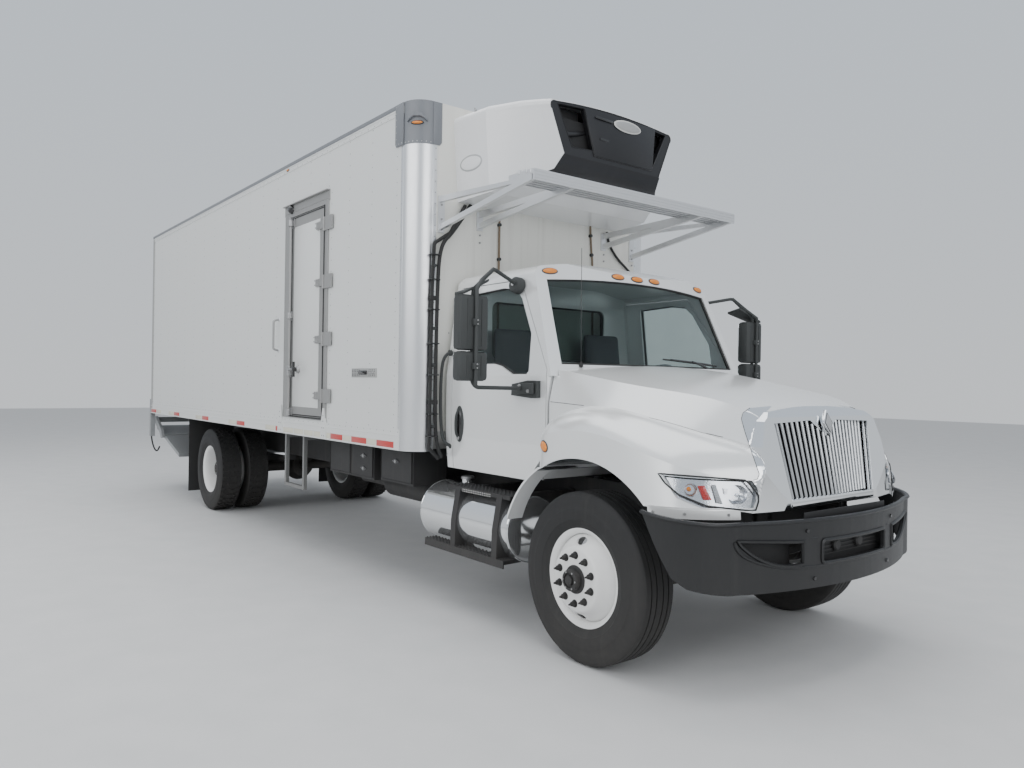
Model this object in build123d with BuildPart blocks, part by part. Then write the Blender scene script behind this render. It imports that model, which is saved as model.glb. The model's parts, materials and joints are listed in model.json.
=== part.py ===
"""A refrigerated box truck with a bonneted cab, in millimetres.

+X is forward, +Y is the truck's left and +Z is up. The origin is on the
ground, midway between the front of the bumper and the back of the tail lift.
Heights are measured from the ground, and places along the truck from the
front axle.
"""

from build123d import *
import math
import os

os.makedirs("parts", exist_ok=True)

# Running gear
wheelbase = 6910.0
tyre_radius = 515.0
tyre_width = 279.0
rim_radius = 286.0
rim_lip = 12.0
front_track_centre = 1012.0
rear_outer_centre = 1076.0
dual_spacing = 343.0
kingpin_offset = 840.0
kingpin_radius = 24.0
steering_arm = 185.0

# Ladder frame
frame_half_width = 432.0
rail_height = 266.0
rail_top = 1000.0
rail_flange = 89.0
rail_wall = 9.0
frame_front = 790.0

# Front bumper
bumper_reach = 1112.0
bumper_half_width = 1205.0
bumper_bottom = 578.0
bumper_top = 948.0
bumper_wall = 8.0
tow_pin_ahead = 1046.0
tow_pin_radius = 15.0

# Cab
cab_back = 1680.0
firewall = 479.0
cab_floor = 1015.0
cab_half_width = 1010.0
cab_sill_half_width = 985.0
belt_height = 1782.0
eaves_height = 2412.0
eaves_half_width = 915.0
cab_roof = 2556.0
screen_foot_side = 479.0
screen_foot_middle = 372.0
screen_head_side = 766.0
screen_head_middle = 632.0
cab_wall = 55.0
cab_gap = 6.0
arch_radius = 712.0
toe_radius = 850.0

# Cab doors
door_front = 494.0
door_rear = 1600.0
door_top = 2392.0
glass_thickness = 5.0
glass_gap = 0.3

# Hood, one moulding with the fenders, tilting forward
hood_wall = 12.0
hood_gap = 14.0
hood_pivot_ahead = 1000.0
hood_pivot_height = 650.0
hood_pin = 12.0
fender_half_width = 1182.0
tail_bottom = 480.0

# Insulated box
box_front = 1730.0
box_length = 7755.0
box_half_width = 1295.5
box_bottom = 1135.0
box_top = 3829.0
side_wall = 75.0
front_wall = 100.0
roof_thickness = 80.0
floor_top = 1300.0
bottom_rail_height = 157.0
top_rail_height = 85.0
rail_proud = 5.0
corner_radius = 165.0
corner_wall = 30.0
cap_height = 335.0
rear_frame_depth = 85.0
rear_post_width = 95.0
rear_header = 210.0

# Side door of the box, hinged at its front edge
side_door_front = 3303.0
side_door_width = 760.0
side_door_bottom = 1322.0
side_door_top = 3268.0
side_door_gap = 6.0
side_frame_front = 3217.0
side_frame_rear = 4217.0
side_frame_bottom = 1302.0
side_frame_top = 3323.0
side_hinge_height = 125.0
side_hinge_reach = 168.0
side_hinge_pin = 11.0

# Tail lift folded under the rear
lift_reach = 150.0

# Where the front axle is, so that the origin is midway along the truck
rear_reach = box_front + box_length + lift_reach
front_axle_x = (rear_reach - bumper_reach) / 2


def ahead(distance):
    """A place along the truck, measured forward from the front axle."""
    return front_axle_x + distance


def behind(distance):
    """A place along the truck, measured back from the front axle."""
    return front_axle_x - distance


def finish(part, label):
    """Name a finished piece and write it."""
    part.label = label
    export_step(part, f"parts/{label}.step")


def block(x_range, y_range, z_range, mode=Mode.ADD):
    """A rectangular block between pairs of places, inside a part's block."""
    x_low, x_high = min(x_range), max(x_range)
    y_low, y_high = min(y_range), max(y_range)
    z_low, z_high = min(z_range), max(z_range)
    centre = ((x_low + x_high) / 2, (y_low + y_high) / 2, (z_low + z_high) / 2)
    with Locations(centre):
        Box(x_high - x_low, y_high - y_low, z_high - z_low, mode=mode)


def side_prism(points, y_low, y_high, mode=Mode.ADD):
    """A side-view outline of (x, z) points, filled from one width to another."""
    with BuildSketch(Plane.XZ.offset(-y_high)) as outline:
        with BuildLine():
            Polyline(*points, close=True)
        make_face()
    extrude(outline.sketch, amount=y_high - y_low, mode=mode)


def rod_along(start, end, radius, mode=Mode.ADD):
    """A round rod from one point to another."""
    axis = Vector(*end) - Vector(*start)
    with BuildSketch(Plane(origin=start, z_dir=axis)) as end_face:
        Circle(radius)
    extrude(end_face.sketch, amount=axis.length, mode=mode)


def mirrored(part, label):
    """The left-hand twin of a right-hand piece."""
    with BuildPart() as twin:
        mirror(part, about=Plane.XZ)
    finish(twin.part, label)
    return twin.part


# Tyres

tread_half = 0.4 * tyre_width
shoulder_drop = 14.0


def tyre_outline(centre_y):
    """The tyre's section, as a face to turn about the axle."""
    half = tyre_width / 2
    bead_half = 0.385 * tyre_width
    bulge_radius = (tyre_radius + rim_radius) / 2 - 12
    with BuildLine() as outline:
        Polyline((rim_radius, centre_y - bead_half), (rim_radius, centre_y + bead_half))
        ThreePointArc(
            (rim_radius, centre_y + bead_half),
            (bulge_radius, centre_y + half),
            (tyre_radius - shoulder_drop, centre_y + tread_half),
        )
        ThreePointArc(
            (tyre_radius - shoulder_drop, centre_y + tread_half),
            (tyre_radius, centre_y),
            (tyre_radius - shoulder_drop, centre_y - tread_half),
        )
        ThreePointArc(
            (tyre_radius - shoulder_drop, centre_y - tread_half),
            (bulge_radius, centre_y - half),
            (rim_radius, centre_y - bead_half),
        )
    make_face(outline.edges())


def axle_plane(axle_x):
    """Local x is the radius from the axle, local y is the place across the truck."""
    return Plane(origin=(axle_x, 0, tyre_radius), x_dir=(1, 0, 0), z_dir=(0, 0, 1))


def tyre(axle_x, centres):
    """One or two tyres on the same axle, as separate rings."""
    with BuildPart() as ring:
        for centre_y in centres:
            with BuildSketch(axle_plane(axle_x)):
                tyre_outline(centre_y)
            revolve(axis=Axis((axle_x, 0, tyre_radius), (0, 1, 0)))
    return ring.part


front_axle_place = front_axle_x
rear_axle_place = behind(wheelbase)
rear_inner_centre = rear_outer_centre - dual_spacing

tyre_front_right = tyre(front_axle_place, [-front_track_centre])
finish(tyre_front_right, "tyre_front_right")
mirrored(tyre_front_right, "tyre_front_left")
tyres_rear_right = tyre(rear_axle_place, [-rear_outer_centre, -rear_inner_centre])
finish(tyres_rear_right, "tyres_rear_right")
mirrored(tyres_rear_right, "tyres_rear_left")

# Wheels: pressed steel discs in drop-centre rims, hubs and drums

bead_gap = 0.3
rim_half = 0.42 * tyre_width
rim_inner = rim_radius - 22
disc_thickness = 12.0
disc_outset = 168.0
hub_radius = 85.0
hub_hole = 81.0
bolt_circle = 142.9
nut_radius = 17.0
nut_length = 32.0
disc_hand_hole = 30.0
hub_nose = 58.0


def rim_section(centre_y, outer_y, disc_face_y):
    """Half section of a rim and its disc; outer_y is +1 or -1, the way its face looks."""
    seat = rim_radius - bead_gap
    lip = rim_radius + rim_lip
    inner = rim_inner
    edge = rim_half + 4
    well = rim_half * 0.35
    with BuildLine() as rim:
        Polyline(
            (seat, centre_y - rim_half),
            (lip, centre_y - rim_half),
            (lip, centre_y - edge),
            (inner, centre_y - edge),
            (inner, centre_y + edge),
            (lip, centre_y + edge),
            (lip, centre_y + rim_half),
            (seat, centre_y + rim_half),
            close=True,
        )
    make_face(rim.edges())
    face = disc_face_y
    back = disc_face_y - outer_y * disc_thickness
    foot = centre_y + outer_y * well
    with BuildLine() as disc:
        Polyline(
            (hub_hole, back),
            (bolt_circle + 34, back),
            (inner - 30, foot - outer_y * disc_thickness),
            (inner + 2, foot - outer_y * disc_thickness),
            (inner + 2, foot + outer_y * disc_thickness),
            (inner - 26, foot + outer_y * disc_thickness),
            (bolt_circle + 38, face),
            (hub_hole, face),
            close=True,
        )
    make_face(disc.edges())


def wheel(axle_x, rims, nut_face, nut_way, drum_range, bearing_radius, nose_start):
    """Rims as (centre, way the disc looks, disc face), with nuts, hub and brake drum."""
    axis = Axis((axle_x, 0, tyre_radius), (0, 1, 0))
    with BuildPart() as body:
        for centre_y, way, face_y in rims:
            with BuildSketch(axle_plane(axle_x)):
                rim_section(centre_y, way, face_y)
            revolve(axis=axis)
        with BuildSketch(axle_plane(axle_x)):
            low, high = sorted((drum_range[0], nut_face))
            with BuildLine():
                Polyline(
                    (bearing_radius, low),
                    (hub_radius, low),
                    (hub_radius, high),
                    (bearing_radius, high),
                    close=True,
                )
            make_face()
            low, high = sorted(drum_range)
            with BuildLine():
                Polyline(
                    (bearing_radius, low),
                    (rim_inner - 34, low),
                    (rim_inner - 34, high),
                    (bearing_radius, high),
                    close=True,
                )
            make_face()
            low, high = sorted((nose_start, nut_face + nut_way * hub_nose))
            with BuildLine():
                Polyline((0, low), (hub_radius - 12, low), (hub_radius - 12, high), (0, high), close=True)
            make_face()
        revolve(axis=axis)
        nut_plane = Plane(origin=(axle_x, nut_face, tyre_radius), z_dir=(0, nut_way, 0))
        with BuildSketch(nut_plane):
            with PolarLocations(bolt_circle, 10):
                RegularPolygon(nut_radius, 6)
        extrude(amount=nut_length)
    return body.part


bearing_hole = 45.0
front_disc_face = -(front_track_centre + disc_outset)
front_wheel = wheel(
    front_axle_place,
    [(-front_track_centre, -1, front_disc_face)],
    front_disc_face,
    -1,
    (front_disc_face + disc_thickness, front_disc_face + 190),
    bearing_hole,
    front_disc_face + 8,
)
finish(front_wheel, "wheel_front_right")
mirrored(front_wheel, "wheel_front_left")

rear_joint = rear_outer_centre - dual_spacing / 2
rear_wheel = wheel(
    rear_axle_place,
    [
        (-rear_outer_centre, 1, -(rear_joint + disc_thickness) + disc_thickness),
        (-rear_inner_centre, -1, -rear_joint),
    ],
    -(rear_joint + disc_thickness),
    -1,
    (-(rear_joint - disc_thickness), -(rear_joint - 215)),
    bearing_hole + 8,
    -(rear_joint + 4),
)
finish(rear_wheel, "wheels_rear_right")
mirrored(rear_wheel, "wheels_rear_left")

# Knuckles: kingpin, spindle and steering arm

running_gap = 0.06
bearing_shaft = bearing_hole - running_gap
axle_height = tyre_radius
beam_eye_half = 62.0
yoke_gap = 0.5
yoke_thickness = 36.0
spindle_end = front_track_centre + disc_outset - 10
arm_height = axle_height - 118
tie_pin = 12.0

with BuildPart() as knuckle_right:
    rod_along(
        (front_axle_x, -kingpin_offset, axle_height - beam_eye_half - yoke_thickness),
        (front_axle_x, -kingpin_offset, axle_height + beam_eye_half + yoke_thickness),
        kingpin_radius - running_gap,
    )
    for side in (-1, 1):
        near = axle_height + side * (beam_eye_half + yoke_gap)
        far = near + side * yoke_thickness
        block(
            (front_axle_x - 48, front_axle_x + 48),
            (-kingpin_offset - 108, -kingpin_offset + 46),
            (near, far),
        )
    block(
        (front_axle_x - 48, front_axle_x + 48),
        (-kingpin_offset - 108, -kingpin_offset - 64),
        (axle_height - beam_eye_half - 20, axle_height + beam_eye_half + 20),
    )
    rod_along(
        (front_axle_x, -kingpin_offset - 80, axle_height),
        (front_axle_x, -spindle_end + 20, axle_height),
        bearing_shaft,
    )
    arm_top = axle_height - beam_eye_half - yoke_gap
    side_prism(
        [
            (front_axle_x + 30, arm_height - 18),
            (front_axle_x + 30, arm_top),
            (front_axle_x - 60, arm_top),
            (front_axle_x - steering_arm - 26, arm_height + 18),
            (front_axle_x - steering_arm - 26, arm_height - 18),
        ],
        -kingpin_offset - 18,
        -kingpin_offset + 18,
    )
    rod_along(
        (front_axle_x - steering_arm, -kingpin_offset, arm_height - 62),
        (front_axle_x - steering_arm, -kingpin_offset, arm_height),
        tie_pin,
    )
finish(knuckle_right.part, "knuckle_right")
mirrored(knuckle_right.part, "knuckle_left")

# Tie rod between the two steering arms, with an eye on each pin
tie_height = arm_height - 42
tie_eye = 18.0
eye_gap = 0.5
tie_half = kingpin_offset
with BuildPart() as tie_rod:
    tie_x = front_axle_x - steering_arm
    rod_along((tie_x, -tie_half + tie_eye, tie_height), (tie_x, tie_half - tie_eye, tie_height), 16)
    for side in (-1, 1):
        with BuildSketch(Plane.XY.offset(tie_height - 18)):
            with Locations((tie_x, side * tie_half)):
                Circle(tie_eye + 6)
        extrude(amount=36)
    for side in (-1, 1):
        with BuildSketch(Plane.XY.offset(tie_height - 20)):
            with Locations((tie_x, side * tie_half)):
                Circle(tie_pin + eye_gap)
        extrude(amount=40, mode=Mode.SUBTRACT)
finish(tie_rod.part, "tie_rod")

# Front axle: a dropped I-beam between the kingpin eyes

beam_drop = 95.0
beam_half = 42.0
spring_seat_y = frame_half_width - 40
with BuildPart() as front_axle:
    beam_low = axle_height - beam_drop
    beam_outline = [
        (-kingpin_offset, axle_height + 40),
        (-kingpin_offset + 120, axle_height - 8),
        (-spring_seat_y - 70, beam_low + 45),
        (spring_seat_y + 70, beam_low + 45),
        (kingpin_offset - 120, axle_height - 8),
        (kingpin_offset, axle_height + 40),
        (kingpin_offset, axle_height - 55),
        (kingpin_offset - 130, axle_height - 60),
        (spring_seat_y + 60, beam_low - 45),
        (-spring_seat_y - 60, beam_low - 45),
        (-kingpin_offset + 130, axle_height - 60),
        (-kingpin_offset, axle_height - 55),
    ]
    with BuildSketch(Plane.YZ.offset(front_axle_x - beam_half)):
        with BuildLine():
            Polyline(*beam_outline, close=True)
        make_face()
    extrude(amount=2 * beam_half)
    for side in (-1, 1):
        with BuildSketch(Plane.XY.offset(axle_height - beam_eye_half)):
            with Locations((front_axle_x, side * kingpin_offset)):
                Circle(44)
        extrude(amount=2 * beam_eye_half)
    for side in (-1, 1):
        rod_along(
            (front_axle_x, side * kingpin_offset, axle_height - beam_eye_half - 1),
            (front_axle_x, side * kingpin_offset, axle_height + beam_eye_half + 1),
            kingpin_radius,
            mode=Mode.SUBTRACT,
        )
    for face in (-1, 1):
        block(
            (front_axle_x + face * 16, front_axle_x + face * (beam_half + 1)),
            (-spring_seat_y + 75, spring_seat_y - 75),
            (beam_low - 28, beam_low + 28),
            mode=Mode.SUBTRACT,
        )
finish(front_axle.part, "front_axle")

# Rear axle: banjo housing with the final drive and the brake drums' carriers

axle_tube = 72.0
banjo_radius = 205.0
spindle_rear = bearing_hole + 8 - running_gap
with BuildPart() as rear_axle:
    rear_tube_end = rear_joint - 240
    rod_along((rear_axle_place, -rear_tube_end, axle_height), (rear_axle_place, rear_tube_end, axle_height), axle_tube)
    rod_along(
        (rear_axle_place, -rear_joint + 10, axle_height),
        (rear_axle_place, rear_joint - 10, axle_height),
        spindle_rear,
    )
    with BuildSketch(Plane.YZ.offset(rear_axle_place - 120)):
        with Locations((0, axle_height)):
            Circle(banjo_radius - 45)
    with BuildSketch(Plane.YZ.offset(rear_axle_place)):
        with Locations((0, axle_height)):
            Circle(banjo_radius)
    with BuildSketch(Plane.YZ.offset(rear_axle_place + 150)):
        with Locations((0, axle_height)):
            Circle(banjo_radius - 60)
    loft(ruled=True)
    rod_along((rear_axle_place + 120, 0, axle_height), (rear_axle_place + 330, 0, axle_height + 20), 62)
finish(rear_axle.part, "rear_axle")

# Ladder frame: two channels joined by crossmembers and axle hangers

rail_bottom = rail_top - rail_height
frame_rear = 8780.0
cross_places = [-1480, -2300, -3400, -4500, -5600, -7900, -8690]
cross_depth = 100.0
mount_width = 70.0
engine_half = 300.0
with BuildPart() as chassis_frame:
    for side in (-1, 1):
        outline = [
            (side * frame_half_width, rail_bottom),
            (side * frame_half_width, rail_top),
            (side * (frame_half_width - rail_flange), rail_top),
            (side * (frame_half_width - rail_flange), rail_top - rail_wall),
            (side * (frame_half_width - rail_wall), rail_top - rail_wall),
            (side * (frame_half_width - rail_wall), rail_bottom + rail_wall),
            (side * (frame_half_width - rail_flange), rail_bottom + rail_wall),
            (side * (frame_half_width - rail_flange), rail_bottom),
        ]
        with BuildSketch(Plane.YZ.offset(behind(frame_rear))):
            with BuildLine():
                Polyline(*outline, close=True)
            make_face()
        extrude(amount=frame_rear + frame_front)
    for place in cross_places:
        block(
            (ahead(place) - 40, ahead(place) + 40),
            (-frame_half_width + rail_wall, frame_half_width - rail_wall),
            (rail_top - 30 - cross_depth, rail_top - 30),
        )
    # The radiator's crossmember, the engine mounts and the cab's rubber pads
    block(
        (ahead(570), ahead(650)),
        (-frame_half_width + rail_wall, frame_half_width - rail_wall),
        (rail_bottom, rail_bottom + 80),
    )
    for side in (-1, 1):
        inner_y = side * (engine_half + glass_gap)
        outer_y = side * (frame_half_width - rail_wall)
        block((ahead(-90), ahead(30)), (inner_y, outer_y), (800, 880))
        for place in (620, cab_back - 90):
            with BuildSketch(Plane.XY.offset(rail_top)):
                with Locations((behind(place), side * (frame_half_width - mount_width / 2 - 4))):
                    Circle(mount_width / 2)
            extrude(amount=cab_floor - glass_gap - rail_top)
finish(chassis_frame.part, "chassis_frame")

# Leaf springs with their shackle hangers, U-bolts and axle seats

spring_width = 76.0
leaf_layout = [
    # axle place, half length, axle seat height, pack thickness
    (front_axle_x, 640, axle_height - beam_drop + 45.3, 62),
    (rear_axle_place, 720, axle_height + axle_tube + 0.3, 96),
]
with BuildPart() as leaf_springs:
    for axle_x, half_length, seat, pack in leaf_layout:
        for side in (-1, 1):
            low_y = side * spring_seat_y - spring_width / 2
            eye_z = rail_bottom - 42
            with BuildSketch(Plane.XZ.offset(-(low_y + spring_width))):
                with BuildLine():
                    ThreePointArc(
                        (axle_x - half_length, eye_z - 16),
                        (axle_x, seat),
                        (axle_x + half_length, eye_z - 16),
                    )
                    Line((axle_x + half_length, eye_z - 16), (axle_x + half_length, eye_z))
                    ThreePointArc(
                        (axle_x + half_length, eye_z),
                        (axle_x, seat + pack),
                        (axle_x - half_length, eye_z),
                    )
                    Line((axle_x - half_length, eye_z), (axle_x - half_length, eye_z - 16))
                make_face()
            extrude(amount=spring_width)
            for end in (-1, 1):
                place = axle_x + end * half_length
                block(
                    (place - 34, place + 34),
                    (low_y, low_y + spring_width),
                    (eye_z - 34, rail_bottom - glass_gap),
                )
finish(leaf_springs.part, "leaf_springs")

# Engine and gearbox as one plain block, with the propeller shaft behind

engine_top = 1480.0
with BuildPart() as engine:
    block((ahead(-410), ahead(430)), (-engine_half, engine_half), (720, engine_top))
    block((ahead(-1380), ahead(-410)), (-190, 190), (690, 985))
finish(engine.part, "engine")

with BuildPart() as driveshaft:
    shaft_front = (behind(1381), 0, 800)
    shaft_middle = (behind(4450), 0, 780)
    shaft_rear = (rear_axle_place + 332, 0, axle_height + 26)
    rod_along(shaft_front, shaft_middle, 48)
    rod_along(shaft_middle, shaft_rear, 48)
    with BuildSketch(Plane.YZ.offset(behind(4450) - 30)):
        with Locations((0, 780)):
            Circle(62)
    extrude(amount=60)
finish(driveshaft.part, "driveshaft")

with BuildPart() as radiator:
    block((ahead(560), ahead(660)), (-390, 390), (rail_top + 6, 1440))
    block((ahead(575), ahead(645)), (-330, 330), (rail_bottom + 80 + glass_gap, rail_top + 6))
finish(radiator.part, "radiator")

# Front bumper: a swept shell with three lower openings


def bumper_plan(inset, mode=Mode.ADD):
    """The bumper's outline from above, made smaller all round by an inset."""
    reach = bumper_reach - inset
    half = bumper_half_width - inset
    with BuildLine() as plan:
        ThreePointArc((ahead(reach - 105), -870), (ahead(reach), 0), (ahead(reach - 105), 870))
        ThreePointArc(
            (ahead(reach - 105), 870),
            (ahead(reach - 230), half - 80),
            (ahead(700), half),
        )
        Line((ahead(700), half), (ahead(500), half))
        Line((ahead(500), half), (ahead(500), -half))
        Line((ahead(500), -half), (ahead(700), -half))
        ThreePointArc(
            (ahead(700), -half),
            (ahead(reach - 230), -half + 80),
            (ahead(reach - 105), -870),
        )
    make_face(plan.edges(), mode=mode)


with BuildPart() as bumper:
    with BuildSketch(Plane.XY.offset(bumper_bottom)):
        bumper_plan(0)
    extrude(amount=bumper_top + 45 - bumper_bottom)
    with BuildSketch(Plane.XY.offset(bumper_bottom)):
        bumper_plan(bumper_wall)
    extrude(amount=bumper_top + 45 - bumper_bottom, mode=Mode.SUBTRACT)
    # The ends are cut back on a slant, and the bottom edge rises towards them
    side_prism(
        [
            (ahead(400), bumper_top + 100),
            (ahead(612), bumper_top + 100),
            (ahead(612), bumper_top + 45),
            (ahead(800), bumper_bottom + 90),
            (ahead(870), bumper_bottom + 40),
            (ahead(1015), bumper_bottom),
            (ahead(1015), bumper_bottom - 10),
            (ahead(400), bumper_bottom - 10),
        ],
        -bumper_half_width - 10,
        bumper_half_width + 10,
        mode=Mode.SUBTRACT,
    )
    side_prism(
        [
            (ahead(600), bumper_top + 46),
            (ahead(960), bumper_top + 4),
            (ahead(1050), bumper_top),
            (ahead(1200), bumper_top),
            (ahead(1200), bumper_top + 60),
            (ahead(600), bumper_top + 60),
        ],
        -bumper_half_width - 10,
        bumper_half_width + 10,
        mode=Mode.SUBTRACT,
    )
    with BuildSketch(Plane.YZ.offset(ahead(880))):
        with Locations((0, 771)):
            RectangleRounded(672, 126, 22)
        for side in (-1, 1):
            with BuildLine():
                Line((side * 476, 716), (side * 476, 836))
                Line((side * 476, 836), (side * 900, 862))
                ThreePointArc((side * 900, 862), (side * 720, 740), (side * 476, 716))
            make_face()
    extrude(amount=400, mode=Mode.SUBTRACT)
    # Brackets that carry the bumper on the rails' front ends
    bracket_low = 850.0
    bracket_top = 900.0
    for side in (-1, 1):
        inner_y = side * (frame_half_width - 12)
        outer_y = side * (frame_half_width - 60)
        start = ahead(frame_front + glass_gap)
        reach = ahead(bumper_reach - 26)
        block((start, reach), (inner_y, outer_y), (600, 640))
        block((start, reach), (inner_y, outer_y), (bracket_low, bracket_top))
        block((start, start + 14), (inner_y, outer_y), (600, 960))
        # A hole for a tow pin through each upper bracket
        rod_along(
            (ahead(tow_pin_ahead), (inner_y + outer_y) / 2, bracket_low - 1),
            (ahead(tow_pin_ahead), (inner_y + outer_y) / 2, bracket_top + 1),
            tow_pin_radius,
            mode=Mode.SUBTRACT,
        )
        # The plate and pin that the hood tilts on
        low_y, high_y = sorted((inner_y, side * (frame_half_width - 2)))
        block(
            (ahead(hood_pivot_ahead - 50), ahead(hood_pivot_ahead + 50)),
            (low_y, high_y),
            (600, hood_pivot_height + 40),
        )
        rod_along(
            (ahead(hood_pivot_ahead), inner_y, hood_pivot_height),
            (ahead(hood_pivot_ahead), side * (frame_half_width + 40), hood_pivot_height),
            hood_pin - running_gap,
        )
finish(bumper.part, "bumper")

# Cab body


def windshield_cut(inset):
    """Everything in front of the windshield, which leans back and bows forward."""
    slope_side = (screen_head_side - screen_foot_side) / (eaves_height - belt_height)
    slope_middle = (screen_head_middle - screen_foot_middle) / (eaves_height - belt_height)
    with BuildPart() as cut:
        for height in (belt_height - 60, cab_roof + 60):
            rise = height - belt_height
            side_x = behind(screen_foot_side + inset + slope_side * rise)
            middle_x = behind(screen_foot_middle + inset + slope_middle * rise)
            with BuildSketch(Plane.XY.offset(height)):
                with BuildLine():
                    ThreePointArc((side_x, -1040), (middle_x, 0), (side_x, 1040))
                    Polyline(
                        (side_x, 1040),
                        (ahead(600), 1040),
                        (ahead(600), -1040),
                        (side_x, -1040),
                    )
                make_face()
        loft(ruled=True)
    return cut.part


def cab_body(inset):
    """The cab's outer form made smaller all round by an inset, as one solid."""
    low = cab_floor + inset
    sill = cab_sill_half_width - inset
    waist = cab_half_width - inset
    eaves = eaves_half_width - inset
    back = behind(cab_back - inset)
    wall_x = firewall + inset
    toe = toe_radius + inset
    toe_foot = math.sqrt(toe**2 - (low - tyre_radius) ** 2)
    toe_head = tyre_radius + math.sqrt(toe**2 - wall_x**2)
    crown_edge = eaves_height + 80 - inset
    with BuildPart() as body:
        with BuildSketch(Plane.YZ.offset(back)):
            with BuildLine():
                Polyline((-eaves, eaves_height), (-waist, belt_height - 60), (-waist, 1260), (-sill, low), (sill, low))
                Polyline((sill, low), (waist, 1260), (waist, belt_height - 60), (eaves, eaves_height))
                RadiusArc((eaves, eaves_height), (eaves - 80, crown_edge), -90)
                ThreePointArc((eaves - 80, crown_edge), (0, cab_roof - inset), (-eaves + 80, crown_edge))
                RadiusArc((-eaves + 80, crown_edge), (-eaves, eaves_height), -90)
            make_face()
        extrude(amount=cab_back - 300)
        # Side view, with the toe board over the wheel, the brow and the back corner
        with BuildSketch(Plane.XZ.offset(-1300)):
            with BuildLine():
                Line((back, low), (behind(toe_foot), low))
                ThreePointArc(
                    (behind(toe_foot), low),
                    (behind(toe * math.cos(math.radians(45))), tyre_radius + toe * math.sin(math.radians(45))),
                    (behind(wall_x), toe_head),
                )
                Polyline(
                    (behind(wall_x), toe_head),
                    (behind(wall_x), belt_height - 60),
                    (behind(300), belt_height - 60),
                    (behind(300), eaves_height - 100),
                    (behind(600 + inset), eaves_height + 20),
                )
                ThreePointArc(
                    (behind(600 + inset), eaves_height + 20),
                    (behind(700 + inset), cab_roof - 52 - inset),
                    (behind(930), cab_roof + 2 - inset),
                )
                Line((behind(930), cab_roof + 2 - inset), (behind(cab_back - 130), cab_roof - 20 - inset))
                ThreePointArc(
                    (behind(cab_back - 130), cab_roof - 20 - inset),
                    (behind(cab_back - 40 - inset), cab_roof - 60 - inset),
                    (back, cab_roof - 150 - inset),
                )
                Line((back, cab_roof - 150 - inset), (back, low))
            make_face()
        extrude(amount=2600, mode=Mode.INTERSECT)
        add(windshield_cut(inset), mode=Mode.SUBTRACT)
    return body.part


cab_outer = cab_body(0)
cab_inner = cab_body(cab_wall)

door_opening_in = cab_half_width - 80
window_points = [
    (1430, 1806),
    (1430, 2338),
    (1080, 2352),
    (925, 2330),
    (850, 2262),
    (700, 2010),
    (680, 1755),
    (700, 1732),
    (860, 1732),
    (1000, 1790),
    (1080, 1806),
]


def door_prism(grow, y_low, y_high, mode=Mode.ADD):
    """The door's outline from the side, grown all round by a gap."""
    front = behind(door_front - grow)
    rear = behind(door_rear + grow)
    low = cab_floor - 1 if grow == 0 else cab_floor - 40
    high = door_top + grow
    pillar_foot = (behind(door_front - grow), belt_height - 20)
    pillar_head = (behind(890 - grow), high)
    side_prism([(rear, low), (rear, high), pillar_head, pillar_foot, (front, low)], y_low, y_high, mode)


def window_prism(shrink, y_low, y_high, mode=Mode.ADD):
    """The door window's outline from the side, drawn in all round by a gap."""
    with BuildSketch(Plane.XZ.offset(-y_high)) as outline:
        with BuildLine():
            Polyline(*[(behind(x), z) for x, z in window_points], close=True)
        make_face()
        if shrink:
            offset(amount=-shrink, kind=Kind.INTERSECTION, mode=Mode.REPLACE)
    extrude(outline.sketch, amount=y_high - y_low, mode=mode)


screen_foot_half = 905.0
screen_head_half = 835.0
rear_glass_half = 620.0


def screen_outline(shrink):
    """The windshield seen from the front."""
    foot = belt_height + 18 + shrink
    head = eaves_height - 22 - shrink
    foot_half = screen_foot_half - shrink
    head_half = screen_head_half - shrink
    with BuildLine() as screen:
        Polyline((-head_half, head), (-foot_half, foot), (foot_half, foot), (head_half, head))
        ThreePointArc((head_half, head), (0, head + 34), (-head_half, head))
    make_face(screen.edges())


with BuildPart() as door_clearance:
    for side in (-1, 1):
        low_y, high_y = sorted((side * (screen_head_half - 25), side * 1100))
        door_prism(cab_gap, low_y, high_y)
        low_y, high_y = sorted((side * door_opening_in, 0))
        block((behind(cab_back), behind(300)), (low_y, high_y), (900, belt_height - 50), mode=Mode.SUBTRACT)

with BuildPart() as cab_shell:
    add(cab_outer)
    add(cab_inner, mode=Mode.SUBTRACT)
    with BuildSketch(Plane.YZ.offset(behind(930))):
        screen_outline(0)
    extrude(amount=700, mode=Mode.SUBTRACT)
    with BuildSketch(Plane.YZ.offset(behind(cab_back + 10))):
        with Locations((0, 2090)):
            RectangleRounded(2 * rear_glass_half, 460, 60)
    extrude(amount=120, mode=Mode.SUBTRACT)
    add(door_clearance.part, mode=Mode.SUBTRACT)
finish(cab_shell.part, "cab_shell")

glass_depth = 24.0
with BuildPart() as glass_openings:
    with BuildSketch(Plane.YZ.offset(behind(930))):
        screen_outline(glass_gap)
    extrude(amount=700)
    with BuildSketch(Plane.YZ.offset(behind(cab_back + 10))):
        with Locations((0, 2090)):
            RectangleRounded(2 * (rear_glass_half - glass_gap), 460 - 2 * glass_gap, 60 - glass_gap)
    extrude(amount=120)
with BuildPart() as cab_glass:
    add(cab_body(glass_depth))
    add(cab_body(glass_depth + glass_thickness), mode=Mode.SUBTRACT)
    add(glass_openings.part, mode=Mode.INTERSECT)
finish(cab_glass.part, "cab_glass")

# Cab doors, each as thick as the cab's wall, with the window cut out

with BuildPart() as door_form:
    door_prism(0, -1100, -screen_head_half + 20)
    block(
        (behind(cab_back), behind(300)),
        (-cab_half_width + cab_wall, 0),
        (900, belt_height - 60),
        mode=Mode.SUBTRACT,
    )
with BuildPart() as door_right:
    add(cab_outer)
    add(cab_inner, mode=Mode.SUBTRACT)
    add(door_form.part, mode=Mode.INTERSECT)
    window_prism(0, -1100, -700, mode=Mode.SUBTRACT)
finish(door_right.part, "door_right")
mirrored(door_right.part, "door_left")

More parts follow.
